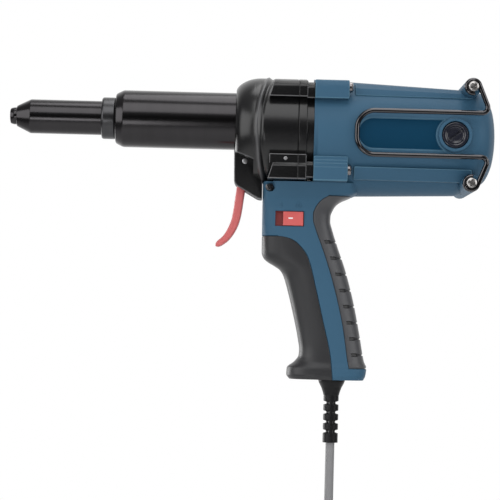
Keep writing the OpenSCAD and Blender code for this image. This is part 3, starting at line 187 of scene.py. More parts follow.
def finish(name, colour, rough, metal=0.0, tint=0.05, patch=45.0, grain=1400.0, relief=0.04,
           stretch=(1, 1, 1), coat=0.0, spread=0.15, wear_and_highlight=None, specular=0.5):
    """A finish with a soft cloud of colour, a fine grain in gloss and height, and a second colour
    where the edge attribute marks it: wear together with a painted highlight along the edges."""
    mat = bpy.data.materials.new(name)
    mat.use_nodes = True
    tree = mat.node_tree
    shader = tree.nodes["Principled BSDF"].inputs
    shader["Metallic"].default_value = metal
    shader["Specular IOR Level"].default_value = specular
    shader["Coat Weight"].default_value = coat
    shader["Coat Roughness"].default_value = 0.08
    spot = node(tree, "Mapping", {0: node(tree, "TexCoord")["Object"], "Scale": stretch})[0]
    cloud = node(tree, "TexNoise", {"Vector": spot, "Scale": patch, "Detail": 4})["Fac"]
    shade = mixed(tree, cloud, (*[c * (1 - 2 * tint) for c in colour], 1),
                  (*[min(1, c * (1 + 2 * tint)) for c in colour], 1))
    # Painted highlight with wear: the marked places take the second, lighter colour.
    if wear_and_highlight:
        rim = node(tree, "Attribute", attribute_name="edge")["Fac"]
        shade = mixed(tree, rim, shade, (*wear_and_highlight, 1))
    tree.links.new(shade, shader["Base Color"])
    fine = node(tree, "TexNoise", {"Vector": spot, "Scale": grain, "Detail": 3})["Fac"]
    gloss = node(tree, "MapRange", {"Value": fine, "To Min": rough * (1 - spread),
                                    "To Max": rough * (1 + spread)})[0]
    tree.links.new(gloss, shader["Roughness"])
    height = node(tree, "Bump", {"Height": fine, "Strength": relief, "Distance": 0.0003})[0]
    tree.links.new(height, shader["Normal"])
    return mat


floor_z, floor_r, fade_from, fade_to = -412.0, 1200, 0.6, 1.2
floor_grid = upright(0, 0, np.repeat(np.linspace(1, floor_r, 24)[:, None], 64, 1), floor_z)
floor_paper = finish("floor_paper", (0.7, 0.7, 0.7), 0.8, tint=0.008, relief=0.02)
paper = floor_paper.node_tree
paper_far = node(paper, "VectorMath", {0: node(paper, "TexCoord")["Object"]}, operation="LENGTH")
paper_fade = node(paper, "MapRange", {"Value": paper_far["Value"], "From Min": fade_from,
                                      "From Max": fade_to, "To Min": 1, "To Max": 0},
                  interpolation_type="SMOOTHSTEP")[0]
paper.links.new(paper_fade, paper.nodes["Principled BSDF"].inputs["Alpha"])
shaped("floor", [faced(floor_grid, ends=(True, False))], floor_paper)

# Mains lead: a grey two-core rubber lead. It drops straight from the strain relief and is put away
# below as a hank of five turns in two layers, and its tail runs down to the plug.
lead_d, lead_x, lead_run, lead_out, lead_in, lead_growth = 6.5, 11.0, 100.0, 42.0, 20.0, 8.8
relief_end, lead_top, plug_top = -102, -198.0, -352
lead_layer = lead_d + 0.9
turn_count, per_turn = 5, 72


def ramp(value, start, stop):
    """0 up to start and 1 from stop, in a straight line between."""
    return np.clip((value - start) / (stop - start), 0, 1)


def eased(value, start, stop):
    """The same, with both corners rounded."""
    return ramp(value, start, stop) ** 2 * (3 - 2 * ramp(value, start, stop))


def fitted(name, parts, mat, nodes="", body="tool", sharp=40.0):
    """A made piece: it rides on its body and stands for its CAD nodes, which it hides."""
    made = shaped(name, parts, mat, sharp)
    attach(made, body)
    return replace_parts(made, *nodes.split()) if nodes else made


lead_t = np.arange(turn_count * per_turn + 1) / per_turn
lead_quarter = np.floor((lead_t % 1) * 4 + 1e-9)
lead_part = (lead_t % 1) * 4 - lead_quarter
lead_r = lead_in + lead_growth * np.abs(lead_t - turn_count / 2)
lead_drawn = lead_r * (1 - 0.2 * np.sin(np.pi * lead_part) ** 2)
hank_across, hank_over = lead_r * np.cos(np.pi * lead_part), lead_r * np.sin(np.pi * lead_part)
hank_x = np.choose(lead_quarter.astype(int), [lead_drawn, hank_across, -lead_drawn, -hank_across])
hank_z = np.choose(lead_quarter.astype(int), [-lead_run * lead_part, -lead_run - hank_over,
                                              -lead_run * (1 - lead_part), hank_over])
hank_y = lead_layer * eased(lead_t, turn_count / 2, turn_count / 2 + 0.25)
hank_rows = np.stack([lead_x - lead_out + hank_x, hank_y, lead_top + hank_z], -1)


def dropped(y, z):
    """Points straight down below the relief, at a depth and at heights."""
    return np.column_stack([np.full(z.size, lead_x), np.full(z.size, y), z])


lead_route = np.vstack([dropped(0, np.linspace(relief_end, lead_top + 2, 16)), hank_rows,
                        dropped(lead_layer, np.linspace(lead_top - 6, plug_top, 24))])


def swept(route, radius, sides):
    """A round bar along a route: each ring stands square to the route, at radius from it."""
    way = unit(np.gradient(route, axis=0))
    out = unit([0, 1, 0] - way[:, 1:2] * way)
    turn = full_turn(sides)[..., None]
    ring = np.cos(turn) * out[:, None] + np.sin(turn) * np.cross(way, out)[:, None]
    return faced(route[:, None] + radius * ring)


lead_rubber = finish("lead_rubber", (0.2, 0.2, 0.205), 0.5, grain=2200, relief=0.08)
lead = fitted("mains_lead", [swept(lead_route, lead_d / 2, 14)], lead_rubber,
              "power_cord cord_hank")

# Strain relief: a black rubber sleeve pushed into the grip's foot. Its cone flares out under the
# foot, and the five rings below it are joined by a bridge on the left and the right, so it bends.
cone_top, cone_end, last_slot, bridge_half = -57.1, -68, -98, 0.36
ring_pitch, ring_r, slot_wide, slot_rest, slot_deep, slot_soft = 6.8, 5.45, 2.2, 0.25, 2.15, 0.14
relief_z = np.arange(cone_top, relief_end - 0.01, -0.22)[:, None]
relief_turn = full_turn(96)
cone_r = np.interp(-relief_z, [57.1, 58.3, 59.5, 62.6, 66, 68], [9.6, 9.4, 8.9, 7.3, 6.1, 5.6])
ring_left = ring_pitch - (cone_end - relief_z) % ring_pitch
slot_open = (1 / (1 + np.exp((ring_left - slot_wide) / slot_soft))
             / (1 + np.exp((slot_rest - ring_left) / slot_soft)))
slot_side = 1 / (1 + np.exp((bridge_half - np.abs(np.cos(relief_turn))) / 0.05))
slot_side = slot_side * (relief_z > last_slot)
relief_size = np.where(relief_z > cone_end, cone_r, ring_r - slot_deep * slot_open * slot_side)
relief_grid = upright(lead_x, 0, relief_size, relief_z)
relief_black = finish("relief_black", (0.006, 0.006, 0.0065), 0.38, grain=1800, relief=0.05,
                      specular=0.25)
fitted("relief_sleeve", [faced(relief_grid)], relief_black, "strain_relief")

# Mains plug: a moulded two-pin plug with flat sides and a ribbed tail, on the lead's end. Its pins
# are turned brass with a bright plating, and a strap holds the hank together.
tail_end, tail_pitch, plug_half, pin_apart = 11, 2.4, 11, 9.5
plug_z, plug_turn = np.linspace(0, 38, 90)[:, None], full_turn(72)


def rounded(points, reach, closed=True, steps=7):
    """A line of points with its corners rounded: each corner becomes a curve that leaves one edge
    and joins the next at the given reach from the corner, or at under half of a shorter edge."""
    p = np.asarray(points, float)
    back, on = np.roll(p, 1, 0) - p, np.roll(p, -1, 0) - p
    long_back, long_on = np.linalg.norm(back, axis=1), np.linalg.norm(on, axis=1)
    reach = np.broadcast_to(np.asarray(reach, float), len(p))
    leave = p + back * (np.minimum(reach, 0.45 * long_back) / long_back)[:, None]
    join = p + on * (np.minimum(reach, 0.45 * long_on) / long_on)[:, None]
    t = np.linspace(0, 1, steps)[None, :, None]
    bend = (1 - t) ** 2 * leave[:, None] + 2 * t * (1 - t) * p[:, None] + t ** 2 * join[:, None]
    return bend.reshape(-1, 2) if closed else np.vstack([p[:1], bend[1:-1].reshape(-1, 2), p[-1:]])


def keep_sign(value, power):
    """The value's size raised to a power, with its own sign."""
    return np.sign(value) * np.abs(value) ** power


def turned(profile, axis, centre, sides=96, loop=True, ends=(False, False)):
    """A turned part: a profile of places along the axis and radii is swung round that axis through
    centre."""
    along, r = np.asarray(profile, float).T[:, :, None]
    turn = full_turn(sides)
    u, v, w = r * np.cos(turn), r * np.sin(turn), along + 0 * turn
    order = {"x": (w, u, v), "y": (v, w, u), "z": (u, v, w)}[axis]
    return faced(np.stack(order, -1) + np.array(centre, float), loop=loop, ends=ends)


plug_r = np.interp(plug_z, [0, 1, 12, 15, 20, 28, 36.5, 37.5, 38],
                   [4.2, 4.85, 5.85, 11.2, 14.6, 16.5, 16.5, 16.1, 15.4])
plug_groove = np.cos(plug_z * 2 * np.pi / tail_pitch) > 0.3
plug_r = plug_r - 0.5 * plug_groove * (plug_z < tail_end) * (plug_z > 1)
plug_flat = np.minimum(plug_r, plug_half) / np.maximum(np.abs(np.sin(plug_turn)), 1e-6)
plug_soft = (plug_r ** -8.0 + plug_flat ** -8.0) ** (-1 / 8)
plug_size = np.where(plug_r > 10, plug_soft, plug_r)
plug_grid = upright(lead_x, lead_layer, plug_size, plug_top - plug_z)
plug_black = finish("plug_black", (0.02, 0.02, 0.021), 0.4, grain=1600, relief=0.07)
plug = fitted("plug_body", [faced(plug_grid)], plug_black, "mains_plug")
pin_line = rounded([(-388, 2.4), (-390, 2.4), (-407.6, 2.4), (-409, 1.5), (-409, 0.01)], 0.6, False)
plated = finish("plated_pin", (0.62, 0.62, 0.63), 0.22, 1.0, patch=300, grain=900,
                stretch=(1, 1, 0.1), relief=0.03)
pin_parts = [turned(pin_line, "z", (lead_x + side * pin_apart, lead_layer, 0), 40, False)
             for side in (-1, 1)]
pins = fitted("plug_pin_pair", pin_parts, plated, "plug_pins")
strap_turn = full_turn(160)
strap_x, strap_y, strap_z, strap_power = -31, 3.5, -248, 2 / 7
strap_half_x, strap_half_y, strap_thick, strap_wide = 37.3, 7.2, 1.1, 14.0
strap_rows = rounded([(0, 0), (0, strap_wide), (strap_thick, strap_wide), (strap_thick, 0)], 0.45,
                     steps=4)
strap_out, strap_up = strap_rows[:, :1], strap_rows[:, 1:]
strap_across = keep_sign(np.cos(strap_turn), strap_power) * (strap_half_x + strap_out)
strap_deep = keep_sign(np.sin(strap_turn), strap_power) * (strap_half_y + strap_out)
strap_grid = np.stack([strap_x + strap_across, strap_y + strap_deep,
                       strap_z + strap_up + 0 * strap_turn], -1)
strap_black = finish("strap_black", (0.03, 0.03, 0.032), 0.6, grain=700, relief=0.25,
                     stretch=(1, 1, 3))
strap = fitted("hank_strap", [faced(strap_grid, loop=True)], strap_black, "cord_tie")

# Nose: four turned steel parts, blackened and polished. The barrel is pressed into the gear case, the
# sleeve screws into it behind a lock collar, and the nosepiece with the mandrel bore into the sleeve.
barrel_z = 127.0
black_steel = finish("black_steel", (0.05, 0.048, 0.05), 0.2, 1.0, tint=0.06, patch=30, grain=700,
                     relief=0.02, stretch=(6, 0.4, 0.4), spread=0.12)
collar_black = finish("collar_black", (0.075, 0.075, 0.078), 0.3, 1.0, tint=0.03, grain=700,
                      relief=0.03, stretch=(6, 0.4, 0.4))
for name, solid, steel, line, reach in (
        ("nose_cap", "nosepiece", black_steel,
         [(-207, 1.55), (-225.0, 1.55), (-225.3, 1.85), (-225.3, 5.3), (-222.6, 6.15), (-220.3, 6.15),
          (-220.3, 5.1), (-214, 5.1), (-214, 3.35), (-207, 3.35)],
         [0, 0.1, 0.1, 1.6, 1.6, 0, 0, 0, 0, 0]),
        ("sleeve_tube", "front_sleeve", black_steel,
         [(-214, 5.2), (-220.4, 5.2), (-220.4, 7.3), (-218.9, 8.1), (-210.4, 12.25), (-139, 12.25),
          (-139, 10.3), (-214, 10.3)], [0, 0, 0.5, 1.2, 0.7, 0, 0, 0]),
        ("lock_collar", "barrel_collar", collar_black,
         [(-159, 12.3), (-159, 14.2), (-158, 15), (-149.9, 15), (-149.05, 14.2), (-149.05, 12.3)],
         [0, 0.5, 0.9, 0.5, 0.5, 0]),
        ("barrel_tube", "outer_barrel", black_steel,
         [(-149, 12.3), (-149, 17.3), (-148.2, 18.2), (-143.5, 20.5), (-56.5, 20.5), (-56.5, 17),
          (-135, 17), (-138, 12.3)], [0, 0.5, 0.8, 1.2, 0, 0, 0, 0])):
    fitted(name, [turned(rounded(line, reach), "x", (0, 0, barrel_z))], steel, solid)

# Gear case: two die-cast covers with a black gloss finish, held to the motor housing by four long
# screws in the lugs. The front one is domed round the barrel, has a bead behind the dome and carries
# the trigger's bracket.
case_z, case_front, seam_x, recess_x, shell_x = 121.0, -62.5, -17.9, -11.9, -6.9
case_r, case_in, case_wall, dome_long, dome_in, face_r, hole_r = 37.5, 34.05, -48.0, 18, 9, 28.2, 20.55
pin_x, pin_z, boss_room = -55.3, 97.8, 5.8
to_left = np.array([-1, 1])


def ring_reach(angle, rise, r):
    """How far a ray from the axis runs, at each angle from the top, to a circle whose centre lies
    rise above."""
    return rise * np.cos(angle) + np.sqrt(np.maximum(r ** 2 - (rise * np.sin(angle)) ** 2, 0))


def spaced(line, step):
    """Points at even steps along a line of points."""
    line = np.asarray(line, float)
    run = np.concatenate([[0], np.cumsum(np.linalg.norm(np.diff(line, axis=0), axis=1))])
    at = np.linspace(0, run[-1], int(run[-1] / step) + 1)
    return np.stack([np.interp(at, run, column) for column in line.T], -1)


def drum(x, r, turn, height):
    """Points of a skin round an axis along X: each lies at its radius, at its angle from the top to
    the left."""
    return np.stack([x + 0 * r, -r * np.sin(turn), height + r * np.cos(turn)], -1)


def extruded(outline, near, far, edge, along="y", far_edge=None):
    """A flat part with soft edges: a closed outline in X and Z, or Y and Z, carried from near to
    far. Close to both ends it draws in along its own normals by a quarter circle of radius edge.
    The rounded places and the outline's corners are marked, for wear and a painted highlight."""
    p = np.asarray(outline, float)
    before, after = p - np.roll(p, 1, 0), np.roll(p, -1, 0) - p
    way = before + after
    area = np.sum(p[:, 0] * np.roll(p[:, 1], -1) - p[:, 1] * np.roll(p[:, 0], -1))
    out = np.stack([way[:, 1], -way[:, 0]], -1) * np.sign(area)
    out /= np.linalg.norm(out, axis=1)[:, None] + 1e-12
    bend = np.abs(np.arctan2(before[:, 0] * after[:, 1] - before[:, 1] * after[:, 0],
                             np.sum(before * after, 1)))
    corner = ramp(bend, 0.14, 0.22) * (bend < 0.7)
    far_edge = edge if far_edge is None else far_edge
    a = np.linspace(0, np.pi / 2, 5)
    draw, lift, mark = 1 - np.sin(a), 1 - np.cos(a), np.sin(2 * a)
    inset = np.concatenate([edge * draw, far_edge * draw[::-1]])
    run = np.concatenate([near + edge * lift, far - far_edge * lift[::-1]])
    # Marks for wear and a painted highlight: the roundings at both ends and the outline's corners.
    rim = np.concatenate([mark * min(1, edge / 0.5), mark[::-1] * min(1, far_edge / 0.5)])
    rim = np.maximum(rim[:, None], corner[None, :])
    rim[[0, -1]] = 0
    flat = p[None] - inset[:, None, None] * out[None]
    first, last, run = flat[..., 0], flat[..., 1], run[:, None] + 0 * flat[..., 0]
    order = (first, run, last) if along == "y" else (run, first, last)
    return faced(np.stack(order, -1), edge=rim)


case_black = finish("case_black", (0.0042, 0.0042, 0.0046), 0.25, grain=2200, relief=0.006,
                    specular=0.55, wear_and_highlight=(0.1, 0.1, 0.104))
case_turn = np.linspace(-np.pi, np.pi, 360, endpoint=False)[None, :]
case_up = np.cos(case_turn)
dome_turn = np.linspace(0, np.pi / 2, 40)
dome_line = np.column_stack([case_front + dome_long * (1 - np.cos(dome_turn)),
                             case_r - dome_in + dome_in * np.sin(dome_turn) ** 1.3])
case_line = spaced(np.vstack([dome_line, [(seam_x - 0.5, case_r)]]), 0.55)
cut_end, cut_top, cut_slope = case_front + 13.3, barrel_z - 23, 5 / 12
cut_rows = [(cut_end + shift, np.interp(cut_end, *dome_line.T)) for shift in (-0.03, 0.03)]
case_line = np.vstack([case_line[case_line[:, 0] < cut_end - 0.1], cut_rows,
                       case_line[case_line[:, 0] > cut_end + 0.1]])
cover_x, cover_r = case_line[:, :1], case_line[:, 1:] + 0 * case_turn
bead_x = -47.4 + 8 * np.maximum(case_up, 0) ** 2 + 5 * np.minimum(case_up, 0) ** 2
bead = np.exp(-((cover_x - bead_x) / 1.3) ** 2)
cover_r = cover_r + 0.8 * bead - 0.8 * np.exp(-((cover_x - bead_x - 2.9) / 1.2) ** 2)
under = np.maximum(-case_up, 1e-3)
face_cut = (case_z - (cut_top - cut_slope)) / under
face_out = np.where(case_up < 0, np.minimum(face_r, face_cut), face_r)
cut_z = cut_top - cut_slope * (cover_x - case_front + 1)
boss_side = np.abs((case_z - cut_z) * np.sin(case_turn) / under)
boss_top = pin_z + np.sqrt(np.maximum(boss_room ** 2 - (cover_x - pin_x) ** 2, 0))
boss_on = (boss_side < boss_room + 0.9) & (np.abs(cover_x - pin_x) < boss_room)
cut_r = (case_z - np.where(boss_on, np.maximum(cut_z, boss_top), cut_z)) / under
cut_on = (case_up < 0) & (cover_x < cut_end)
# From here bead also holds the cut's crease, as marks for a painted highlight line.
bead = np.maximum(bead, np.where(cut_on, np.exp(-((cover_r - cut_r) / 0.9) ** 2), 0))
cover_r = np.where(cut_on, np.minimum(cover_r, cut_r), cover_r)
seam_line = np.array([(seam_x - 0.1, 37.1), (seam_x - 0.06, 36.6), (seam_x - 0.06, case_in),
                      (case_wall + 0.1, case_in), (case_wall, 21)])
face_share = np.linspace(0, 1, 9)[:, None] ** 0.7
hole = ring_reach(case_turn, barrel_z - case_z, hole_r)
case_rows = [(case_front + 0.35 * face_share ** 12, hole + (face_out - hole) * face_share),
             (cover_x, cover_r), (seam_line[:, :1], seam_line[:, 1:] + 0 * case_turn),
             (np.full((1, 1), case_wall), hole)]
# Painted highlight lines along the bead and the crease, together with wear.
case_highlight = np.pad(0.7 * bead, [(face_share.size, len(seam_line) + 1), (0, 0)])
case_parts = [faced(np.concatenate([drum(x, r, case_turn, case_z) for x, r in case_rows]), loop=True,
                    edge=case_highlight)]
lug_high = rounded([(22, 142.4), (38, 142.4), (38, 150.6), (35.4, 154.2), (22, 154.2)],
                   [0, 0.8, 1.4, 1.4, 0])
lug_low = rounded([(22, 84.1), (38, 84.1), (38, 93.4), (36.4, 95.9), (22, 95.9)], [0, 1, 0.5, 0.5, 0])
pad_front = -38.2
pad_line = rounded([(24, 95.4), (36.6, 95.4), (36.6, 101.9), (24, 101.9)], [0, 0, 0.7, 0])


def case_blocks(front, back, slant, edge, far_edge):
    """The four screw lugs and the two pads below the middle, over a stretch of the case. The front
    half of a lug leans back by slant from its lower to its upper side."""
    one_side = []
    for line in (lug_high, lug_low):
        points, *rest = extruded(line * to_left, front, back, edge, "x", far_edge)
        low, high = line[:, 1].min(), line[:, 1].max()
        lean = slant * (points[:, 2] - low) / (high - low)
        points[:, 0] += lean * (points[:, 0] < (front + back) / 2)
        one_side.append((points, *rest))
    one_side.append(extruded(pad_line * to_left, max(front, pad_front), min(back, recess_x - 0.05),
                             edge, "x", far_edge))
    return one_side + [flipped(part) for part in one_side]


case_parts += case_blocks(-39.1, seam_x - 0.05, 3.6, 0.7, 0.2)
bracket_side = rounded([(-63.3, 107), (-62.8, 82.8), (-60.9, 80), (-45.5, 71.2), (-42.3, 70.8),
                        (-42.3, 91), (-50, 107)], [0.6, 1.6, 1.6, 1.2, 1, 0.6, 0.6])
bracket_back = rounded([(-49.45, 86.5), (-42.4, 84), (-42.4, 91), (-49.45, 104)], 0.4)
cheek = extruded(bracket_side, -11, -5.35, 0.9)
bracket = [cheek, extruded(bracket_back, -5.5, 5.5, 0.2), flipped(cheek)]
fitted("gear_case_front_cover", case_parts + bracket, case_black, "gear_case_front")
ring_line = rounded([(seam_x + 0.06, case_in), (seam_x + 0.06, case_r), (recess_x, case_r),
                     (recess_x, 35), (shell_x - 0.05, 35), (shell_x - 0.05, case_in)],
                    [0, 0.5, 0.5, 0.2, 0, 0])
ring_parts = [turned(ring_line, "x", (0, 0, case_z), 180)]
ring_parts += case_blocks(seam_x + 0.06, recess_x, 0, 0.2, 0.6)
neck_size = 0.965
lug_neck = [extruded(line * to_left * neck_size + [0, case_z * (1 - neck_size)], recess_x - 0.5,
                     shell_x - 0.1, 0.2, "x") for line in (lug_high, lug_low)]
fitted("gear_case_rear_ring", ring_parts + lug_neck + [flipped(part) for part in lug_neck], case_black,
       "gear_case_rear")
bright_steel = finish("bright_steel", (0.5, 0.5, 0.51), 0.38, 1.0, patch=300, grain=900, relief=0.03)
pin_end = rounded([(-10.9, 2.0), (-11.15, 1.9), (-11.35, 1.3), (-11.4, 0.01)], 0.2, False)
pin_bar = np.vstack([pin_end[::-1], pin_end * to_left])
fitted("trigger_hinge_pin", [turned(pin_bar, "y", (pin_x, 0, pin_z), 40, False)], bright_steel,
       "trigger_pin")
dowel_line = rounded([(-36.3, 1.3), (-36.75, 1.3), (-37.0, 0.9), (-37.0, 0.01)], 0.15, False)
dowel = turned(dowel_line, "y", (-26.7, 0, 98.6), 32, False, (True, False))
fitted("cover_dowels", [dowel, flipped(dowel)], bright_steel)

# Trigger: a red moulded lever on a cross pin in the bracket. Its blade follows a swept curve, thin at
# the tip, and its boss turns between the bracket's cheeks.
blade_line = np.array([(-90.2, -12.3), (-84.2, -5), (-78.4, -1.2), (-72.5, 1.2), (-66.7, 2.5),
                       (-55.2, 4), (-43, 5.5), (-29.2, 7.2)])
blade_low, blade_high, tip_long, blade_deep, blade_side = -90.2, -31.7, 2.4, 3.25, 5


def smooth_curve(t, table):
    """A smooth line through a table of places and values. Its slope at an inner place is the
    harmonic mean of the two chords beside it, and 0 at a turning point, so it never overshoots."""
    place, value = np.asarray(table, float).T
    chord = np.diff(value) / np.diff(place)
    before, after = chord[:-1], chord[1:]
    same_way = before * after > 0
    inner = np.where(same_way, 2 * before * after / np.where(same_way, before + after, 1), 0)
    slope = np.concatenate([chord[:1], inner, chord[-1:]])
    t = np.clip(t, place[0], place[-1])
    k = np.clip(np.searchsorted(place, t, side="right") - 1, 0, len(place) - 2)
    h = place[k + 1] - place[k]
    u = (t - place[k]) / h
    return ((2 * u ** 3 - 3 * u ** 2 + 1) * value[k] + (u ** 3 - 2 * u ** 2 + u) * h * slope[k]
            + (3 * u ** 2 - 2 * u ** 3) * value[k + 1] + (u ** 3 - u ** 2) * h * slope[k + 1])


tip_share = 1 - np.cos(np.linspace(0.12, np.pi / 2, 10))
blade_z = np.concatenate([blade_low + tip_long * tip_share,
                          np.linspace(blade_low + tip_long, blade_high, 68)[1:]])
blade_x = smooth_curve(blade_z, blade_line)
blade_way = unit(np.stack([np.gradient(blade_x, blade_z), np.ones_like(blade_z)], -1))
tip_round = np.sqrt(1 - (1 - ramp(blade_z, blade_low, blade_low + tip_long)) ** 2)
blade_thin = ((blade_high - blade_z) / (blade_high - blade_low)) ** 6
blade_half = (blade_deep - 1.1 * blade_thin) * tip_round
blade_turn = full_turn(72)
blade_out = blade_half[:, None] * keep_sign(np.cos(blade_turn), 0.5)
blade_wide = blade_side * (0.6 + 0.4 * tip_round)[:, None] * keep_sign(np.sin(blade_turn), 0.5)
blade_grid = np.stack([(case_front + blade_x)[:, None] + blade_out * blade_way[:, 1:], blade_wide,
                       (barrel_z + blade_z)[:, None] - blade_out * blade_way[:, :1]], -1)
boss_line = rounded([(-5, 2.05), (-5, 5.0), (-4.6, 5.4), (4.6, 5.4), (5, 5.0), (5, 2.05)], 0.2)
trigger_red = finish("trigger_red", (0.53, 0.12, 0.12), 0.36, tint=0.03, grain=1500, relief=0.05,
                     specular=0.45)
fitted("trigger_lever", [faced(blade_grid),
                         turned(boss_line, "y", (pin_x, 0, pin_z), 64)], trigger_red,
       "trigger", "trigger_lever", 50)

# Motor housing: two moulded halves in dark blue nylon that meet on the tool's middle plane. The skin
# is the farthest of the motor can, the front band and the keel, and lugs, ribs and bosses stand on it.
motor_z, band_end, rear_x, ring_x, can_in = 118.0, 17.2, 123.5, 92.4, 32.5
panel_x, panel_half, ring_room, panel_deep = 34.85, 10.75, 13.5, 1.1
keel_from, keel_to, keel_drop, seam_r = -2.9, 105.5, -13, 39


def soften(field, rows_sd, cols_sd):
    """A field with its steps rounded: a bell-shaped running mean along the rows and then along the
    columns."""
    for axis, sd in ((0, rows_sd), (1, cols_sd)):
        reach = int(np.ceil(3 * sd))
        weight = np.exp(-0.5 * (np.arange(-reach, reach + 1) / sd) ** 2)
        weight /= weight.sum()
        wide = np.pad(field, [(reach, reach) if k == axis else (0, 0) for k in (0, 1)], mode="edge")
        size = field.shape[axis]
        field = sum(w * np.take(wide, np.arange(k, k + size), axis) for k, w in enumerate(weight))
    return field


housing_blue = finish("housing_blue", (0.036, 0.097, 0.16), 0.5, tint=0.025, patch=25, grain=1500,
                      relief=0.03, wear_and_highlight=(0.075, 0.165, 0.235), specular=0.2)
can_tail = rounded([(104.8, 35.35), (109.5, 34.9), (113.5, 33.2), (116.9, 30.2), (119.4, 25.7),
                    (121.3, 20.6), (122.6, 14), (123.35, 7), (rear_x, 3), (rear_x, 0)],
                   [0, 4, 3, 4, 5, 5, 5, 3, 2, 0], False, steps=9)
can_table = np.vstack([[(shell_x, 38.95), (-4.9, 39.0), (band_end, 39.4), (103.5, 35.4)], can_tail]).T
skin_line = np.concatenate([np.arange(shell_x, 22.4, 0.7), np.arange(22.5, 86, 0.5),
                            np.arange(86, 104.7, 0.8)])
skin_line = np.column_stack([skin_line, np.interp(skin_line, *can_table)])
skin_line = np.vstack([skin_line, spaced(can_tail, 0.8)])
skin_x, can_r = skin_line[:, :1], skin_line[:, 1:]
seam_lap = np.array([0, 0.15, 0.4, 0.8]) / seam_r
lap_end = 1.6 / seam_r
skin_turn = np.concatenate([seam_lap, np.arange(lap_end, 1.24, 0.023), np.arange(1.25, 1.92, 0.0105),
                            np.arange(1.93, np.pi - lap_end, 0.021), np.pi - seam_lap[::-1]])[None, :]
band_r = np.where(skin_x <= band_end, ring_reach(skin_turn, 3, 37.5), 0)
keel_r = np.interp(skin_x, [keel_from, 23.2, 95.5, keel_to], [30, 30, 27.8, 24])
keel_r = ring_reach(skin_turn, keel_drop, keel_r) * ((skin_x > keel_from) & (skin_x < keel_to))
body_r = np.where(skin_x > -5.0, can_r, 0) + 0 * skin_turn
skin_r = soften(np.maximum.reduce([body_r, band_r, keel_r]), 1.0, 1.2)
skin_r = np.where(skin_x > 106.8, np.minimum(skin_r, can_r), skin_r)
from_seam = seam_r * np.minimum(skin_turn, np.pi - skin_turn)
skin_r = skin_r - 0.35 * np.exp(-(from_seam / 0.25) ** 2) * (skin_x < 118.8)
side_z, at_side = skin_r * np.cos(skin_turn), np.sin(skin_turn) > 0.8
from_ring = np.hypot(skin_x - ring_x, side_z)
panel_gap = np.hypot(np.minimum(skin_x - panel_x, 0), side_z) - panel_half
panel_gap = np.maximum(panel_gap, ring_room - from_ring)
panel_gap = np.where(at_side & (skin_x < ring_x), panel_gap, 9.0)
skin_r = skin_r - panel_deep * ramp(panel_gap, 0.35, -0.35)
skin_r = skin_r - 2.6 * ramp(from_ring, 9.4, 9.0) * at_side
# A painted highlight: a lighter ring just outside the panel's recess.
panel_rim_highlight = 0.75 * np.exp(-((panel_gap - 0.45) / 0.32) ** 2)
wall_line = np.column_stack([skin_x, np.interp(skin_x, [shell_x, 24.6, 24.7, 103.5, 112.8],
                                               [can_in, can_in, 35.5, 32.3, 30.5])])
tail_rows = skin_line[:, 0] > 110.8
wall_tail = spaced([(110.8, 30.9), (112.8, 29.6), (116, 26.0), (118.2, 20), (119.4, 12), (119.8, 0)],
                   0.05)
tail_share = np.linspace(0, 1, tail_rows.sum())
wall_line[tail_rows] = wall_tail[(tail_share * (len(wall_tail) - 1)).astype(int)]
wall_turn = np.linspace(np.pi, 0, 20)[None, :]
first_x = np.full((4, 1), shell_x)
first_r = can_in + (skin_r[:1] - can_in) * np.array([[0], [0.4], [0.8], [0.97]])
skin_grid = drum(np.vstack([first_x, skin_x]), np.vstack([first_r, skin_r]), skin_turn, motor_z)
wall_r = np.vstack([np.full((4, 1), can_in), wall_line[:, 1:]]) + 0 * wall_turn
wall_grid = drum(np.vstack([first_x, wall_line[:, :1]]), wall_r, wall_turn, motor_z)
skin_highlight = np.pad(panel_rim_highlight, [(4, 0), (0, wall_turn.size)])
can_half = faced(np.hstack([skin_grid, wall_grid]), ends=(False, False), edge=skin_highlight)
band_high = rounded([(21, 141.6), (38.8, 141.6), (38.8, 151.0), (36.2, 155.0), (21, 155.0)],
                    [0, 0.8, 1.6, 1.6, 0])
band_steps = rounded([(20, 83.3), (38.8, 83.3), (38.8, 93.0), (38.3, 93.3), (38.3, 95.7), (37.7, 96.0),
                      (37.7, 98.0), (37.1, 98.3), (37.1, 100.9), (22.5, 100.9)],
                     [0, 1.2, 0.3, 0.3, 0.3, 0.3, 0.3, 0.3, 0.5, 0])
rib_front, rib_back, rib_root = 21.8, 105.5, 19


def rib(line, taper, drop):
    """A long rib on the can: a bar whose outer side draws in by taper towards the rear, as the can
    does. Its upper side falls by drop on the way."""
    line = np.asarray(line, float)
    low, high = line[:, 1].min(), line[:, 1].max()
    bar = rounded(line * to_left, np.where(line[:, 0] > rib_root, 0.8, 0))
    points, *rest = extruded(bar, rib_front, rib_back, 0.9, "x")
    run = (points[:, 0] - rib_front) / (rib_back - rib_front)
    points[:, 1] += taper * run * ramp(np.abs(points[:, 1]), rib_root, rib_root + 8)
    points[:, 2] -= drop * run * (points[:, 2] - low) / (high - low)
    return (points, *rest)


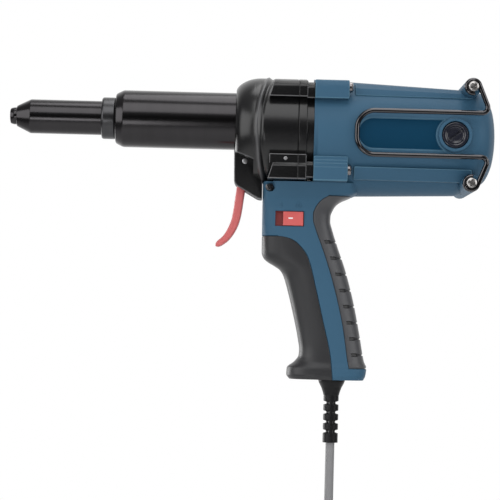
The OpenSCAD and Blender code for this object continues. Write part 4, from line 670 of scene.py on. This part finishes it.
ring_hole = rounded([(-30, 9.65), (-30, 12.1), (-38.8, 12.1), (-39.4, 11.6), (-39.4, 10.1),
                     (-39.0, 9.65)], [0, 0, 0.6, 0.6, 0.4, 0.4])
hook_x, hook_up = 103.8, 33.9
post_line = rounded([(-0.3, 2.3), (-0.3, 6.2), (-39.4, 6.2), (-40, 5.6), (-40, 2.9), (-39.4, 2.3)],
                    [0, 0, 0.6, 0.6, 0.5, 0.5])
house_parts = [can_half, extruded(band_high * to_left, shell_x + 0.02, band_end, 0.7, "x"),
               extruded(band_steps * to_left, shell_x + 0.02, band_end, 0.7, "x"),
               rib([(17, 145.1), (29.0, 145.1), (27.8, 150.4), (21.5, 154.1), (17, 154.1)], 5.2, 3.2),
               rib([(19, 85.3), (28.9, 85.3), (34.6, 94.3), (19, 94.3)], 4.6, 0),
               turned(ring_hole, "y", (ring_x, 0, motor_z))]
house_parts += [turned(post_line, "y", (hook_x, 0, motor_z + up), 72) for up in (-hook_up, hook_up)]
plate_up = np.linspace(-10.4, 10.4, 40)[:, None]
plate_from = panel_x - np.sqrt(np.maximum((panel_half - 0.2) ** 2 - plate_up ** 2, 0))
plate_to = ring_x - np.sqrt((ring_room + 0.25) ** 2 - plate_up ** 2)
plate_share = np.linspace(0, 1, 60)[None, :]
plate_x = plate_from + (plate_to - plate_from) * np.hstack([plate_share, plate_share[:, ::-1]])
plate_r = np.interp(plate_x, *can_table) - np.repeat([[0.78, 1.6]], 60, 1)
plate_grid = np.stack([plate_x, -np.sqrt(plate_r ** 2 - plate_up ** 2),
                       motor_z + plate_up + 0 * plate_x], -1)
plate_blue = finish("plate_blue", (0.003, 0.037, 0.078), 0.5, tint=0.02, grain=900, relief=0.02,
                    specular=0.08)
blank_plate = faced(plate_grid)
fitted("blank_plates", [blank_plate, flipped(blank_plate)], plate_blue, sharp=60)

# Grip: the same mouldings run down as a pistol grip with a blue strip between two rubber panels. Each
# half is a skin over the sections' outline, sunk where the rubber lies, open for switch and screw.
front_edge = [(-57, -19.5), (-54, -21.7), (-49, -21.4), (-44.5, -16.2), (-40, -13.2), (-36, -12.9),
              (-28, -14.1), (-8, -18.6), (10, -23.4), (17, -25.8), (20.8, -28.4), (23.5, -32.5),
              (26.3, -37.3), (29, -40.2), (33, -41.6), (84, -42)]
back_edge = [(-57, 33.5), (-54, 35), (-48, 35.7), (-44, 34), (-41, 33.2), (-23.8, 30), (-0.8, 25.1),
             (22, 18.7), (39, 12.5), (50.5, 8.6), (56.2, 7.1), (60, 7.2), (64, 8.6), (68, 11.1),
             (71, 15), (74, 21.7), (77, 26), (84, 26)]
half_width = [(-57, 16.6), (-54, 17.8), (-50, 17.6), (-44, 16), (-30, 15.2), (0, 15.6), (30, 16.6),
              (50, 17.3), (64, 17.6), (70, 19), (76, 22.5), (84, 28)]
squareness = [(-57, 2.8), (20, 2.6), (45, 3.2), (60, 4), (84, 4)]
front_panel = [(-57, 11), (-41, 9.2), (-15, 3.2), (9, -2.7), (30, -8.6), (39.2, -15.6), (42.5, -20.5),
               (44.3, -27), (45, -36)]
rear_panel = [(-49, 22.9), (-45, 22), (-20, 18), (5.3, 12), (29, 4.7), (51.7, -3.9), (56, -5.2),
              (61, -5.4), (66, -3.6), (69, -1.6), (72, 1.6), (75, 7.5)]
grip_low, grip_high, front_top, rear_low, rear_top = -57.0, 83.2, 44.7, -48.6, 74.2


def grip_turn(x, z):
    """The outline angle, 0 at the front and pi at the back, at which the grip's section has that X."""
    f, b = smooth_curve(z, front_edge), smooth_curve(z, back_edge)
    u = np.clip(((f + b) / 2 - x) / ((b - f) / 2), -1, 1)
    return np.arccos(keep_sign(u, smooth_curve(z, squareness) / 2))


def grip_skin(turn, z, deep):
    """Points of the left half's outline at an angle and height, sunk by a depth: a superellipse
    between the front and back edge whose power is the squareness."""
    f, b = smooth_curve(z, front_edge) + deep, smooth_curve(z, back_edge) - deep
    power = 2 / smooth_curve(z, squareness)
    x = (f + b) / 2 - (b - f) / 2 * keep_sign(np.cos(turn), power)
    y = -(smooth_curve(z, half_width) - deep) * np.maximum(np.sin(turn), 0) ** power
    return np.stack([x, np.minimum(y, 0), z + 0 * turn], -1)


def rows_near(low, high, step, places, offsets=(0, 0.12, 0.25, 0.5, 0.9)):
    """Heights from low to high at a step, with closer ones on both sides of the given places."""
    extra = [p + s * o for p in places for o in offsets for s in (-1, 1)]
    rows = np.concatenate([np.arange(low, high, step), extra, [low, high]])
    rows = np.unique(np.round(rows, 3))
    return rows[(rows >= low) & (rows <= high)][:, None]


def between(start, stop, count):
    """Angles between two columns of angles, without the last."""
    return start + (stop - start) * np.linspace(0, 1, count, endpoint=False)[None, :]


seat_deep, pocket_deep, grip_wall, bore_deep = 1.35, 4.2, 4.1, 4.4
lip_reach = np.array([[0.16, 0.2, 0.3, 0.5, 0.85]])
lip_deep = np.array([[seat_deep, 0.5, 0.2, 0.06, 0.0]])
rim_reach, rim_deep = np.array([[-0.5, -0.2, -0.06, 0.02]]), np.array([[0, 0.08, 0.3, pocket_deep]])
window_x, window_z = (-32.45, -12.2), (51.8, 62.5)
screw_x, screw_z, foot_x = -36.9, 79.8, 7.0


def grip_half(window):
    """One half of the grip's shell. Columns follow both rubber edges and the window's sides, and the
    depth is the rubber's seat, the lips beside it, the window's pocket and the screw's counterbore
    together."""
    z = rows_near(grip_low, grip_high, 1.0, (front_top, rear_low, rear_top, *window_z))
    z = np.unique(np.concatenate([z[:, 0], np.arange(74.6, grip_high, 0.42)]))[:, None]
    at_front, at_rear = z <= front_top, (z >= rear_low) & (z <= rear_top)
    x_front = smooth_curve(np.minimum(z, front_top), front_panel)
    x_rear = smooth_curve(np.clip(z, rear_low, rear_top), rear_panel)
    blend = eased(z, front_top, window_z[0] - 1.2)
    x_lip = x_front * (1 - blend) + (window_x[0] - 2.5) * blend
    x_left = (x_front + 0.3 * (x_rear - x_front)) * (1 - blend) + window_x[0] * blend
    x_right = (x_front + 0.7 * (x_rear - x_front)) * (1 - blend) + window_x[1] * blend
    front, rear = np.zeros_like(z), np.full_like(z, np.pi)
    lip_front, lip_rear = grip_turn(x_lip + lip_reach, z), grip_turn(x_rear - lip_reach[:, ::-1], z)
    left, right = grip_turn(x_left + rim_reach, z), grip_turn(x_right - rim_reach[:, ::-1], z)
    columns = [front]
    for count, stop in ((26, lip_front), (14, left), (9, right), (14, lip_rear), (20, rear)):
        columns += [between(columns[-1][:, -1:], stop[:, :1], count)[:, 1:], stop]
    start = np.cumsum([0] + [c.shape[1] for c in columns])
    turn = np.hstack(columns)
    deep, pocket = np.zeros_like(turn), np.zeros_like(turn)
    deep[:, :start[2]] = seat_deep * at_front
    deep[:, start[2]:start[3]] = lip_deep * at_front
    deep[:, start[8]:start[9]] = lip_deep[:, ::-1] * at_rear
    deep[:, start[9]:] = seat_deep * at_rear
    fore, aft = slice(0, start[3]), slice(start[8], None)
    for edge, up, part in ((front_top, 1, fore), (rear_low, -1, aft), (rear_top, 1, aft)):
        beyond = up * (z - edge)
        lip = np.interp(beyond, [0.1, 0.2, 0.3, 0.5, 0.85], lip_deep[0])
        deep[:, part] = np.maximum(deep[:, part], np.where((beyond > 0) & (beyond < 1), lip, 0))
    plain = grip_skin(turn, z, 0 * turn)
    if window:
        pocket[:, start[4]:start[5]] = rim_deep
        pocket[:, start[5]:start[6]] = pocket_deep
        pocket[:, start[6]:start[7]] = rim_deep[:, ::-1]
        inside = np.minimum(z - window_z[0], window_z[1] - z)
        pocket = np.minimum(pocket, np.interp(inside, [-0.5, -0.12, 0, 0.02], rim_deep[0]))
        away = np.hypot(plain[..., 0] - screw_x, plain[..., 2] - screw_z)
        bore = np.interp(away, [3.0, 3.35, 3.6, 4.0], [bore_deep, bore_deep - 0.2, 0.3, 0])
        deep = np.maximum.reduce([deep, pocket, np.where(plain[..., 1] < -8, bore, 0)])
    straight = plain + deep[..., None] * [0, 1, 0]
    outer = np.where((pocket > 0.2)[..., None], straight, grip_skin(turn, z, deep))
    in_z = np.maximum(z, grip_low + 4 + (z - grip_low) * 0.1)
    inner = grip_skin(np.linspace(np.pi, 0, 18)[None, :], in_z, grip_wall)
    middle = np.array([foot_x, 0, 0])
    foot_edge = np.concatenate([grip_skin(turn[:1], z[:1], deep[:1] + 0.45)[0], inner[0]]) - middle
    foot = np.stack([foot_edge * [share, share, 1] + middle for share in (0.0, 0.5, 1.0)])
    foot[..., 1] = np.minimum(foot[..., 1], 0)
    head = np.concatenate([inner[-1, ::-1][np.linspace(0, 17, turn.shape[1]).astype(int)], inner[-1]])
    skin = np.concatenate([outer, inner], 1)
    return faced(np.concatenate([foot, skin, head[None]]), ends=(False, False))


mark_i = extruded(rounded([(-29.2, 65.4), (-28.2, 65.4), (-28.2, 68.6), (-29.2, 68.6)], 0.2),
                  -18.4, -16, 0.15)
mark_o = turned(rounded([(-16, 1.0), (-18.6, 1.0), (-18.6, 1.8), (-16, 1.8)], 0.15), "y",
                (-16.0, 0, 67), 32)
fitted("housing_left_half", house_parts + [grip_half(True), mark_i, mark_o], housing_blue,
       "housing_left")
fitted("housing_right_half", [flipped(part) for part in house_parts + [grip_half(False)]],
       housing_blue, "housing_right")

# Grip rubber: two soft panels on each half, moulded flush into the shell. The front one is plain and
# wraps the finger notch and the foot. The rear one has eight cut grooves that start as a wider slot.
# The rubber's second colour is painted sheen, which the panels take in different shares.
rubber_grey = finish("rubber_grey", (0.008, 0.008, 0.009), 0.4, tint=0.06, patch=60, grain=1700,
                     relief=0.07, wear_and_highlight=(0.062, 0.063, 0.068))
groove_z = 41.3 - 11.45 * np.arange(8)
panel_play, panel_thick, end_r = 0.14, 1.25, 0.7
edge_reach = lip_reach[:, ::-1]
edge_deep = np.array([[0.0, 0.06, 0.2, 0.5, panel_thick]])


def end_round(z, low, high):
    """How far a panel draws in near its ends: a quarter circle."""
    near = np.clip(np.maximum(low + end_r - z, z - (high - end_r)) / end_r, 0, 1)
    return end_r * (1 - np.sqrt(np.maximum(1 - near ** 2, 0)))


def panel_skin(turn, z, deep, edge):
    """A panel: its skin from one side to the other, and back on its under side."""
    upper, lower = grip_skin(turn, z, np.minimum(deep, panel_thick)), grip_skin(turn, z, panel_thick)
    return faced(np.hstack([upper, lower[:, ::-1]]), edge=np.hstack([edge, edge[:, ::-1]]))


def front_rubber():
    """The front panel: plain from the middle plane to its edge."""
    high = front_top - panel_play
    z = rows_near(grip_low + 0.02, high, 1.0, (high,), (0, 0.1, 0.25, 0.5, 0.8))
    lip = grip_turn(smooth_curve(z, front_panel) - edge_reach, z)
    turn = np.hstack([between(np.zeros_like(z), lip[:, :1], 40), lip])
    deep = np.hstack([np.zeros((len(z), 40)), edge_deep + 0 * z])
    deep = np.maximum(deep, end_round(z, grip_low - 2, high))
    # The front panel takes only a small share of the lighter colour, so it stays darker than the rear.
    return panel_skin(turn, z, deep, np.full(turn.shape, 0.2))


def rear_rubber():
    """The rear panel: its grooves are wide near its edge and narrow round the back."""
    low, high = rear_low + panel_play, rear_top - panel_play
    z = rows_near(low, high, 1.1, groove_z, (0, 0.25, 0.42, 0.6, 0.8, 1.0, 1.25))
    back, x_edge = np.full_like(z, np.pi), smooth_curve(z, rear_panel)
    lip = grip_turn(x_edge + lip_reach, z)
    turn = np.hstack([lip, between(lip[:, -1:], back, 70)[:, 1:], back])
    deep = np.hstack([edge_deep[:, ::-1] + 0 * z, np.zeros((len(z), turn.shape[1] - 5))])
    away = np.min(np.abs(z - groove_z[None, :]), axis=1)[:, None]
    run = grip_skin(turn, z, 0 * turn)[..., 0] - x_edge
    slot = 1.2 * ramp(run, 3.0, 3.6) * ramp(run, 8.6, 7.4) * ramp(away, 1.2, 0.9)
    cut = 0.75 * ramp(run, 6.5, 8.0) * ramp(away, 0.62, 0.27)
    deep = np.maximum.reduce([deep, slot, cut, end_round(z, low, high) + 0 * deep])
    # Painted sheen and shade: the rear panel takes most of the lighter colour, and the slots and
    # grooves keep the dark one.
    return panel_skin(turn, z, deep, 0.85 * (1 - np.clip(np.maximum(slot, cut), 0, 1)))


rubber_parts = [front_rubber(), rear_rubber()]
fitted("rubber_left", rubber_parts, rubber_grey, "grip_left")
fitted("rubber_right", [flipped(part) for part in rubber_parts], rubber_grey,
       "grip_right")

# Power switch: a red slider in a dark red frame fills the window on the left side. The slider has a
# small white dash, and it is pushed forward to switch on.
switch_x, switch_z = -22.4, 57.7


def block(x0, x1, z0, z1, near, far, edge, corner):
    """A box with soft edges on the tool's left side, between two depths. Heights are from the
    switch's middle."""
    z0, z1 = switch_z + z0, switch_z + z1
    return extruded(rounded([(x0, z0), (x1, z0), (x1, z1), (x0, z1)], corner), near, far, edge)


frame_red = finish("frame_red", (0.17, 0.02, 0.02), 0.38, grain=1500, relief=0.05)
fitted("switch_frame", [block(switch_x - 11.4, switch_x + 10.4, -6.2, 5.0, -14.3, -9.6, 0.2, 0.3),
                        block(switch_x - 12, switch_x + 12, -6.5, 6.5, -10, -1, 0.4, 0.6)], frame_red,
       "power_switch")
slider_red = finish("slider_red", (0.57, 0.1, 0.095), 0.34, tint=0.02, grain=1500)
fitted("switch_slide", [block(-27.05, -12.65, -5.5, 4.45, -18.25, -14.65, 0.5, 0.5)], slider_red,
       "switch_slider", "slider")
mark_white = finish("mark_white", (0.85, 0.85, 0.85), 0.45, tint=0.01)
fitted("slide_mark", [block(-23.3, -20.1, -0.75, 0.15, -18.3, -18.0, 0.04, 0.4)], mark_white,
       body="slider")

# Belt hook: one chromed wire with two legs, a round front end and an eye at each end, held by the
# screws on the hook bosses. It stands off the housing so that a belt goes behind its legs.
wire_d, wire_y = 3.5, -41.9


def arc(cx, cz, r, start, sweep, count):
    """Points on a circle in X and Z from a start angle over a sweep, in degrees."""
    a = np.radians(start + sweep * np.linspace(0, 1, count))
    return np.column_stack([cx + r * np.cos(a), np.full(count, wire_y), cz + r * np.sin(a)])


corner, eye, corner_r, eye_r = np.array([110.3, 19.5]), np.array([hook_x, hook_up]), 4.0, 4.55
span = eye - corner
span_turn = np.arctan2(span[1], span[0]) + np.arcsin((corner_r - eye_r) / np.linalg.norm(span))
span_turn = float(np.degrees(span_turn))
hook_half = np.vstack([arc(35.6, 2.8, 12.7, 180, -90, 40), arc(*corner, corner_r, -90, span_turn, 24),
                       arc(*eye, eye_r, span_turn - 90, 262, 48)])
hook_route = np.vstack([(hook_half * [1, 1, -1])[::-1], hook_half[1:]]) + [0, 0, motor_z]
hook_gap = np.linalg.norm(np.diff(hook_route, axis=0), axis=1)
hook_route = np.vstack([np.linspace(a, b, max(1, int(gap / 1.5)), endpoint=False) for a, b, gap in
                        zip(hook_route[:-1], hook_route[1:], hook_gap)] + [hook_route[-1:]])
hook_chrome = finish("hook_chrome", (0.09, 0.088, 0.092), 0.12, 1.0, tint=0.02, patch=120, grain=700,
                     relief=0.015)
fitted("belt_hook_wire", [swept(hook_route, wire_d / 2, 20)], hook_chrome, "belt_hook")

# Screws: pan heads with a cross recess. Two hold the hook, four run from the housing's front band into
# the lugs of the gear case, and one on each side holds the housing's halves together.
to_side, along_x = (0, -1, 0), (1, 0, 0)


def screw(place, out, side, head_r, head_h, shank_r, shank, turn):
    """A pan head screw: a polar grid whose height is a low dome with a cross recess, with its rim
    turned down to the seat, and a plain shank. Out and side are its axis and one way across it."""
    place, out, side = np.array(place, float), np.array(out, float), np.array(side, float)
    a, over = full_turn(64), np.cross(out, side)
    ring = np.concatenate([np.linspace(0.02, 0.9, 16), [0.95, 0.985, 1.0, 1.0, 1.0]])[:, None] * head_r
    u, v = np.abs(ring * np.cos(a + turn)), np.abs(ring * np.sin(a + turn))
    dome = head_h * (1 - 0.28 * (ring / head_r) ** 2.5) + 0 * a
    dome[-4:] = head_h * np.array([[0.62], [0.5], [0.25], [0.0]])
    half, long = 0.2 * head_r, 0.62 * head_r
    arm = np.maximum(ramp(u, half + 0.06, half - 0.06) * (v < long),
                     ramp(v, half + 0.06, half - 0.06) * (u < long))
    head = (ring, dome - 0.6 * head_h * arm * (ring < 0.9 * head_r))
    rod = (np.array([[shank_r], [shank_r], [shank_r - 0.6]]),
           np.array([[0], [1 - shank], [-shank]]) + 0 * a)
    return [faced(place + up[..., None] * out + (r * np.cos(a))[..., None] * side
                  + (r * np.sin(a))[..., None] * over) for r, up in (head, rod)]


hook_screws = [part for up, turn in ((-hook_up, 0.3), (hook_up, 0.9)) for part in
               screw((hook_x, -43.7, motor_z + up), to_side, along_x, 3.6, 2.55, 2.0, 62, turn)]
case_screws = [part for s in (-1, 1) for up in (-29.2, 29.2) for part in
               screw((band_end + 0.05, 32 * s, case_z + up), along_x, to_side, 3.7, 2.95, 2.0, 48,
                     up + s)]
house_screws = (screw((screw_x, -14.8, screw_z), to_side, along_x, 3.3, 2.35, 1.75, 25, 0.5)
                + screw((1, 11, 20), (0, 1, 0), along_x, 3.3, 2.35, 1.75, 19, 1.1))
for name, parts, solid, look, colour, rough in (
        ("hook_screw_pair", hook_screws, "hook_screws", "zinc_steel", (0.5, 0.485, 0.47), 0.3),
        ("case_screw_set", case_screws, "case_screws", "dull_screw", (0.28, 0.26, 0.26), 0.28),
        # The housing screws' finish is much darker than the others: painted shade of their
        # counterbores.
        ("housing_screw_pair", house_screws, "housing_screws", "screw_painted_shade",
         (0.12, 0.12, 0.124), 0.35)):
    steel = finish(look, colour, rough, 1.0, patch=200, grain=900, relief=0.05)
    fitted(name, parts, steel, solid)

# Brush caps: black gloss moulded caps that screw into the ring on each side and hold the carbon
# brushes. A polar grid gives the raised rim, the bowl and the slot.
slot_turn, slot_half, slot_long, slot_depth = np.radians(38), 0.9, 6.9, 1.1
cap_ring = np.concatenate([np.linspace(0.02, 5.6, 26), np.linspace(5.8, 6.9, 9),
                           np.linspace(7.2, 8.6, 8), [8.9, 9.15, 9.32, 9.4, 9.4, 9.4]])[:, None]
cap_turn = full_turn(128)
cap_line = np.interp(cap_ring, [0, 4, 5.6, 6.1, 6.6, 7.2, 8.4, 8.9, 9.2, 9.4],
                     [36.3, 36.45, 36.75, 37.2, 37.9, 38.2, 38.15, 38.0, 37.7, 37.2]) + 0 * cap_turn
cap_line[-2:] = np.array([[35.5], [33.4]])
slot_u = np.abs(cap_ring * np.cos(cap_turn - slot_turn))
slot_v = np.abs(cap_ring * np.sin(cap_turn - slot_turn))
slot_cut = ramp(slot_v, slot_half, slot_half - 0.3) * ramp(slot_u, slot_long, slot_long - 0.4)
cap_line = cap_line - slot_depth * slot_cut * ramp(cap_line, 35, 36) * (cap_ring < 7.5)
cap_grid = np.stack([ring_x + cap_ring * np.cos(cap_turn), -cap_line,
                     motor_z + cap_ring * np.sin(cap_turn)], -1)
cap_part = faced(cap_grid)
cap_gloss = finish("cap_gloss", (0.011, 0.012, 0.02), 0.2, grain=900, relief=0.03, coat=0.5,
                   specular=0.7)
fitted("brush_cap_pair", [cap_part, flipped(cap_part)], cap_gloss, "brush_caps")

# Inside: the drive, the motor, the jaws, the switch and the clamp keep the shapes of their solids.
# Each gets the finish of its material.
inner_finish = (
    ((0.52, 0.53, 0.55), 0.24, 1.0, "armature_shaft idler_shaft idler_wheel drive_nut drive_gear"
     " lead_screw pull_rod rod_lock_nut jaw_case jaws jaw_pusher"),
    ((0.62, 0.62, 0.63), 0.16, 1.0, "bearing_outer_rings armature_inner_rings idler_inner_rings"
     " nut_inner_rings"),
    ((0.7, 0.7, 0.71), 0.08, 1.0, "bearing_balls"), ((0.5, 0.51, 0.53), 0.32, 1.0, "gear_plate"),
    ((0.5, 0.5, 0.5), 0.25, 1.0, "brush_springs jaw_spring"),
    ((0.56, 0.545, 0.53), 0.25, 1.0, "small_screws"), ((0.55, 0.37, 0.14), 0.3, 1.0, "guide_bush"),
    ((0.2, 0.2, 0.21), 0.4, 1.0, "stator_core armature_core"),
    ((0.5, 0.16, 0.05), 0.3, 0.6, "field_coils armature_winding"),
    ((0.66, 0.3, 0.13), 0.25, 1.0, "commutator"), ((0.6, 0.42, 0.14), 0.3, 1.0, "brush_holders"),
    ((0.03, 0.03, 0.031), 0.6, 0.0, "carbon_brushes"),
    ((0.025, 0.025, 0.026), 0.45, 0.0, "cooling_fan"),
    ((0.02, 0.02, 0.021), 0.45, 0.0, "trigger_switch"), ((0.02, 0.02, 0.021), 0.5, 0.0, "cord_clamp"),
    ((0.02, 0.14, 0.06), 0.4, 0.0, "control_board"), ((0.75, 0.75, 0.74), 0.4, 0.0, "trigger_plunger"))
for colour, rough, metal, names in inner_finish:
    for name in names.split():
        node_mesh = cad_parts[name].data
        node_mesh.materials.clear()
        node_mesh.materials.append(finish(name + "_finish", colour, rough, metal, grain=900))
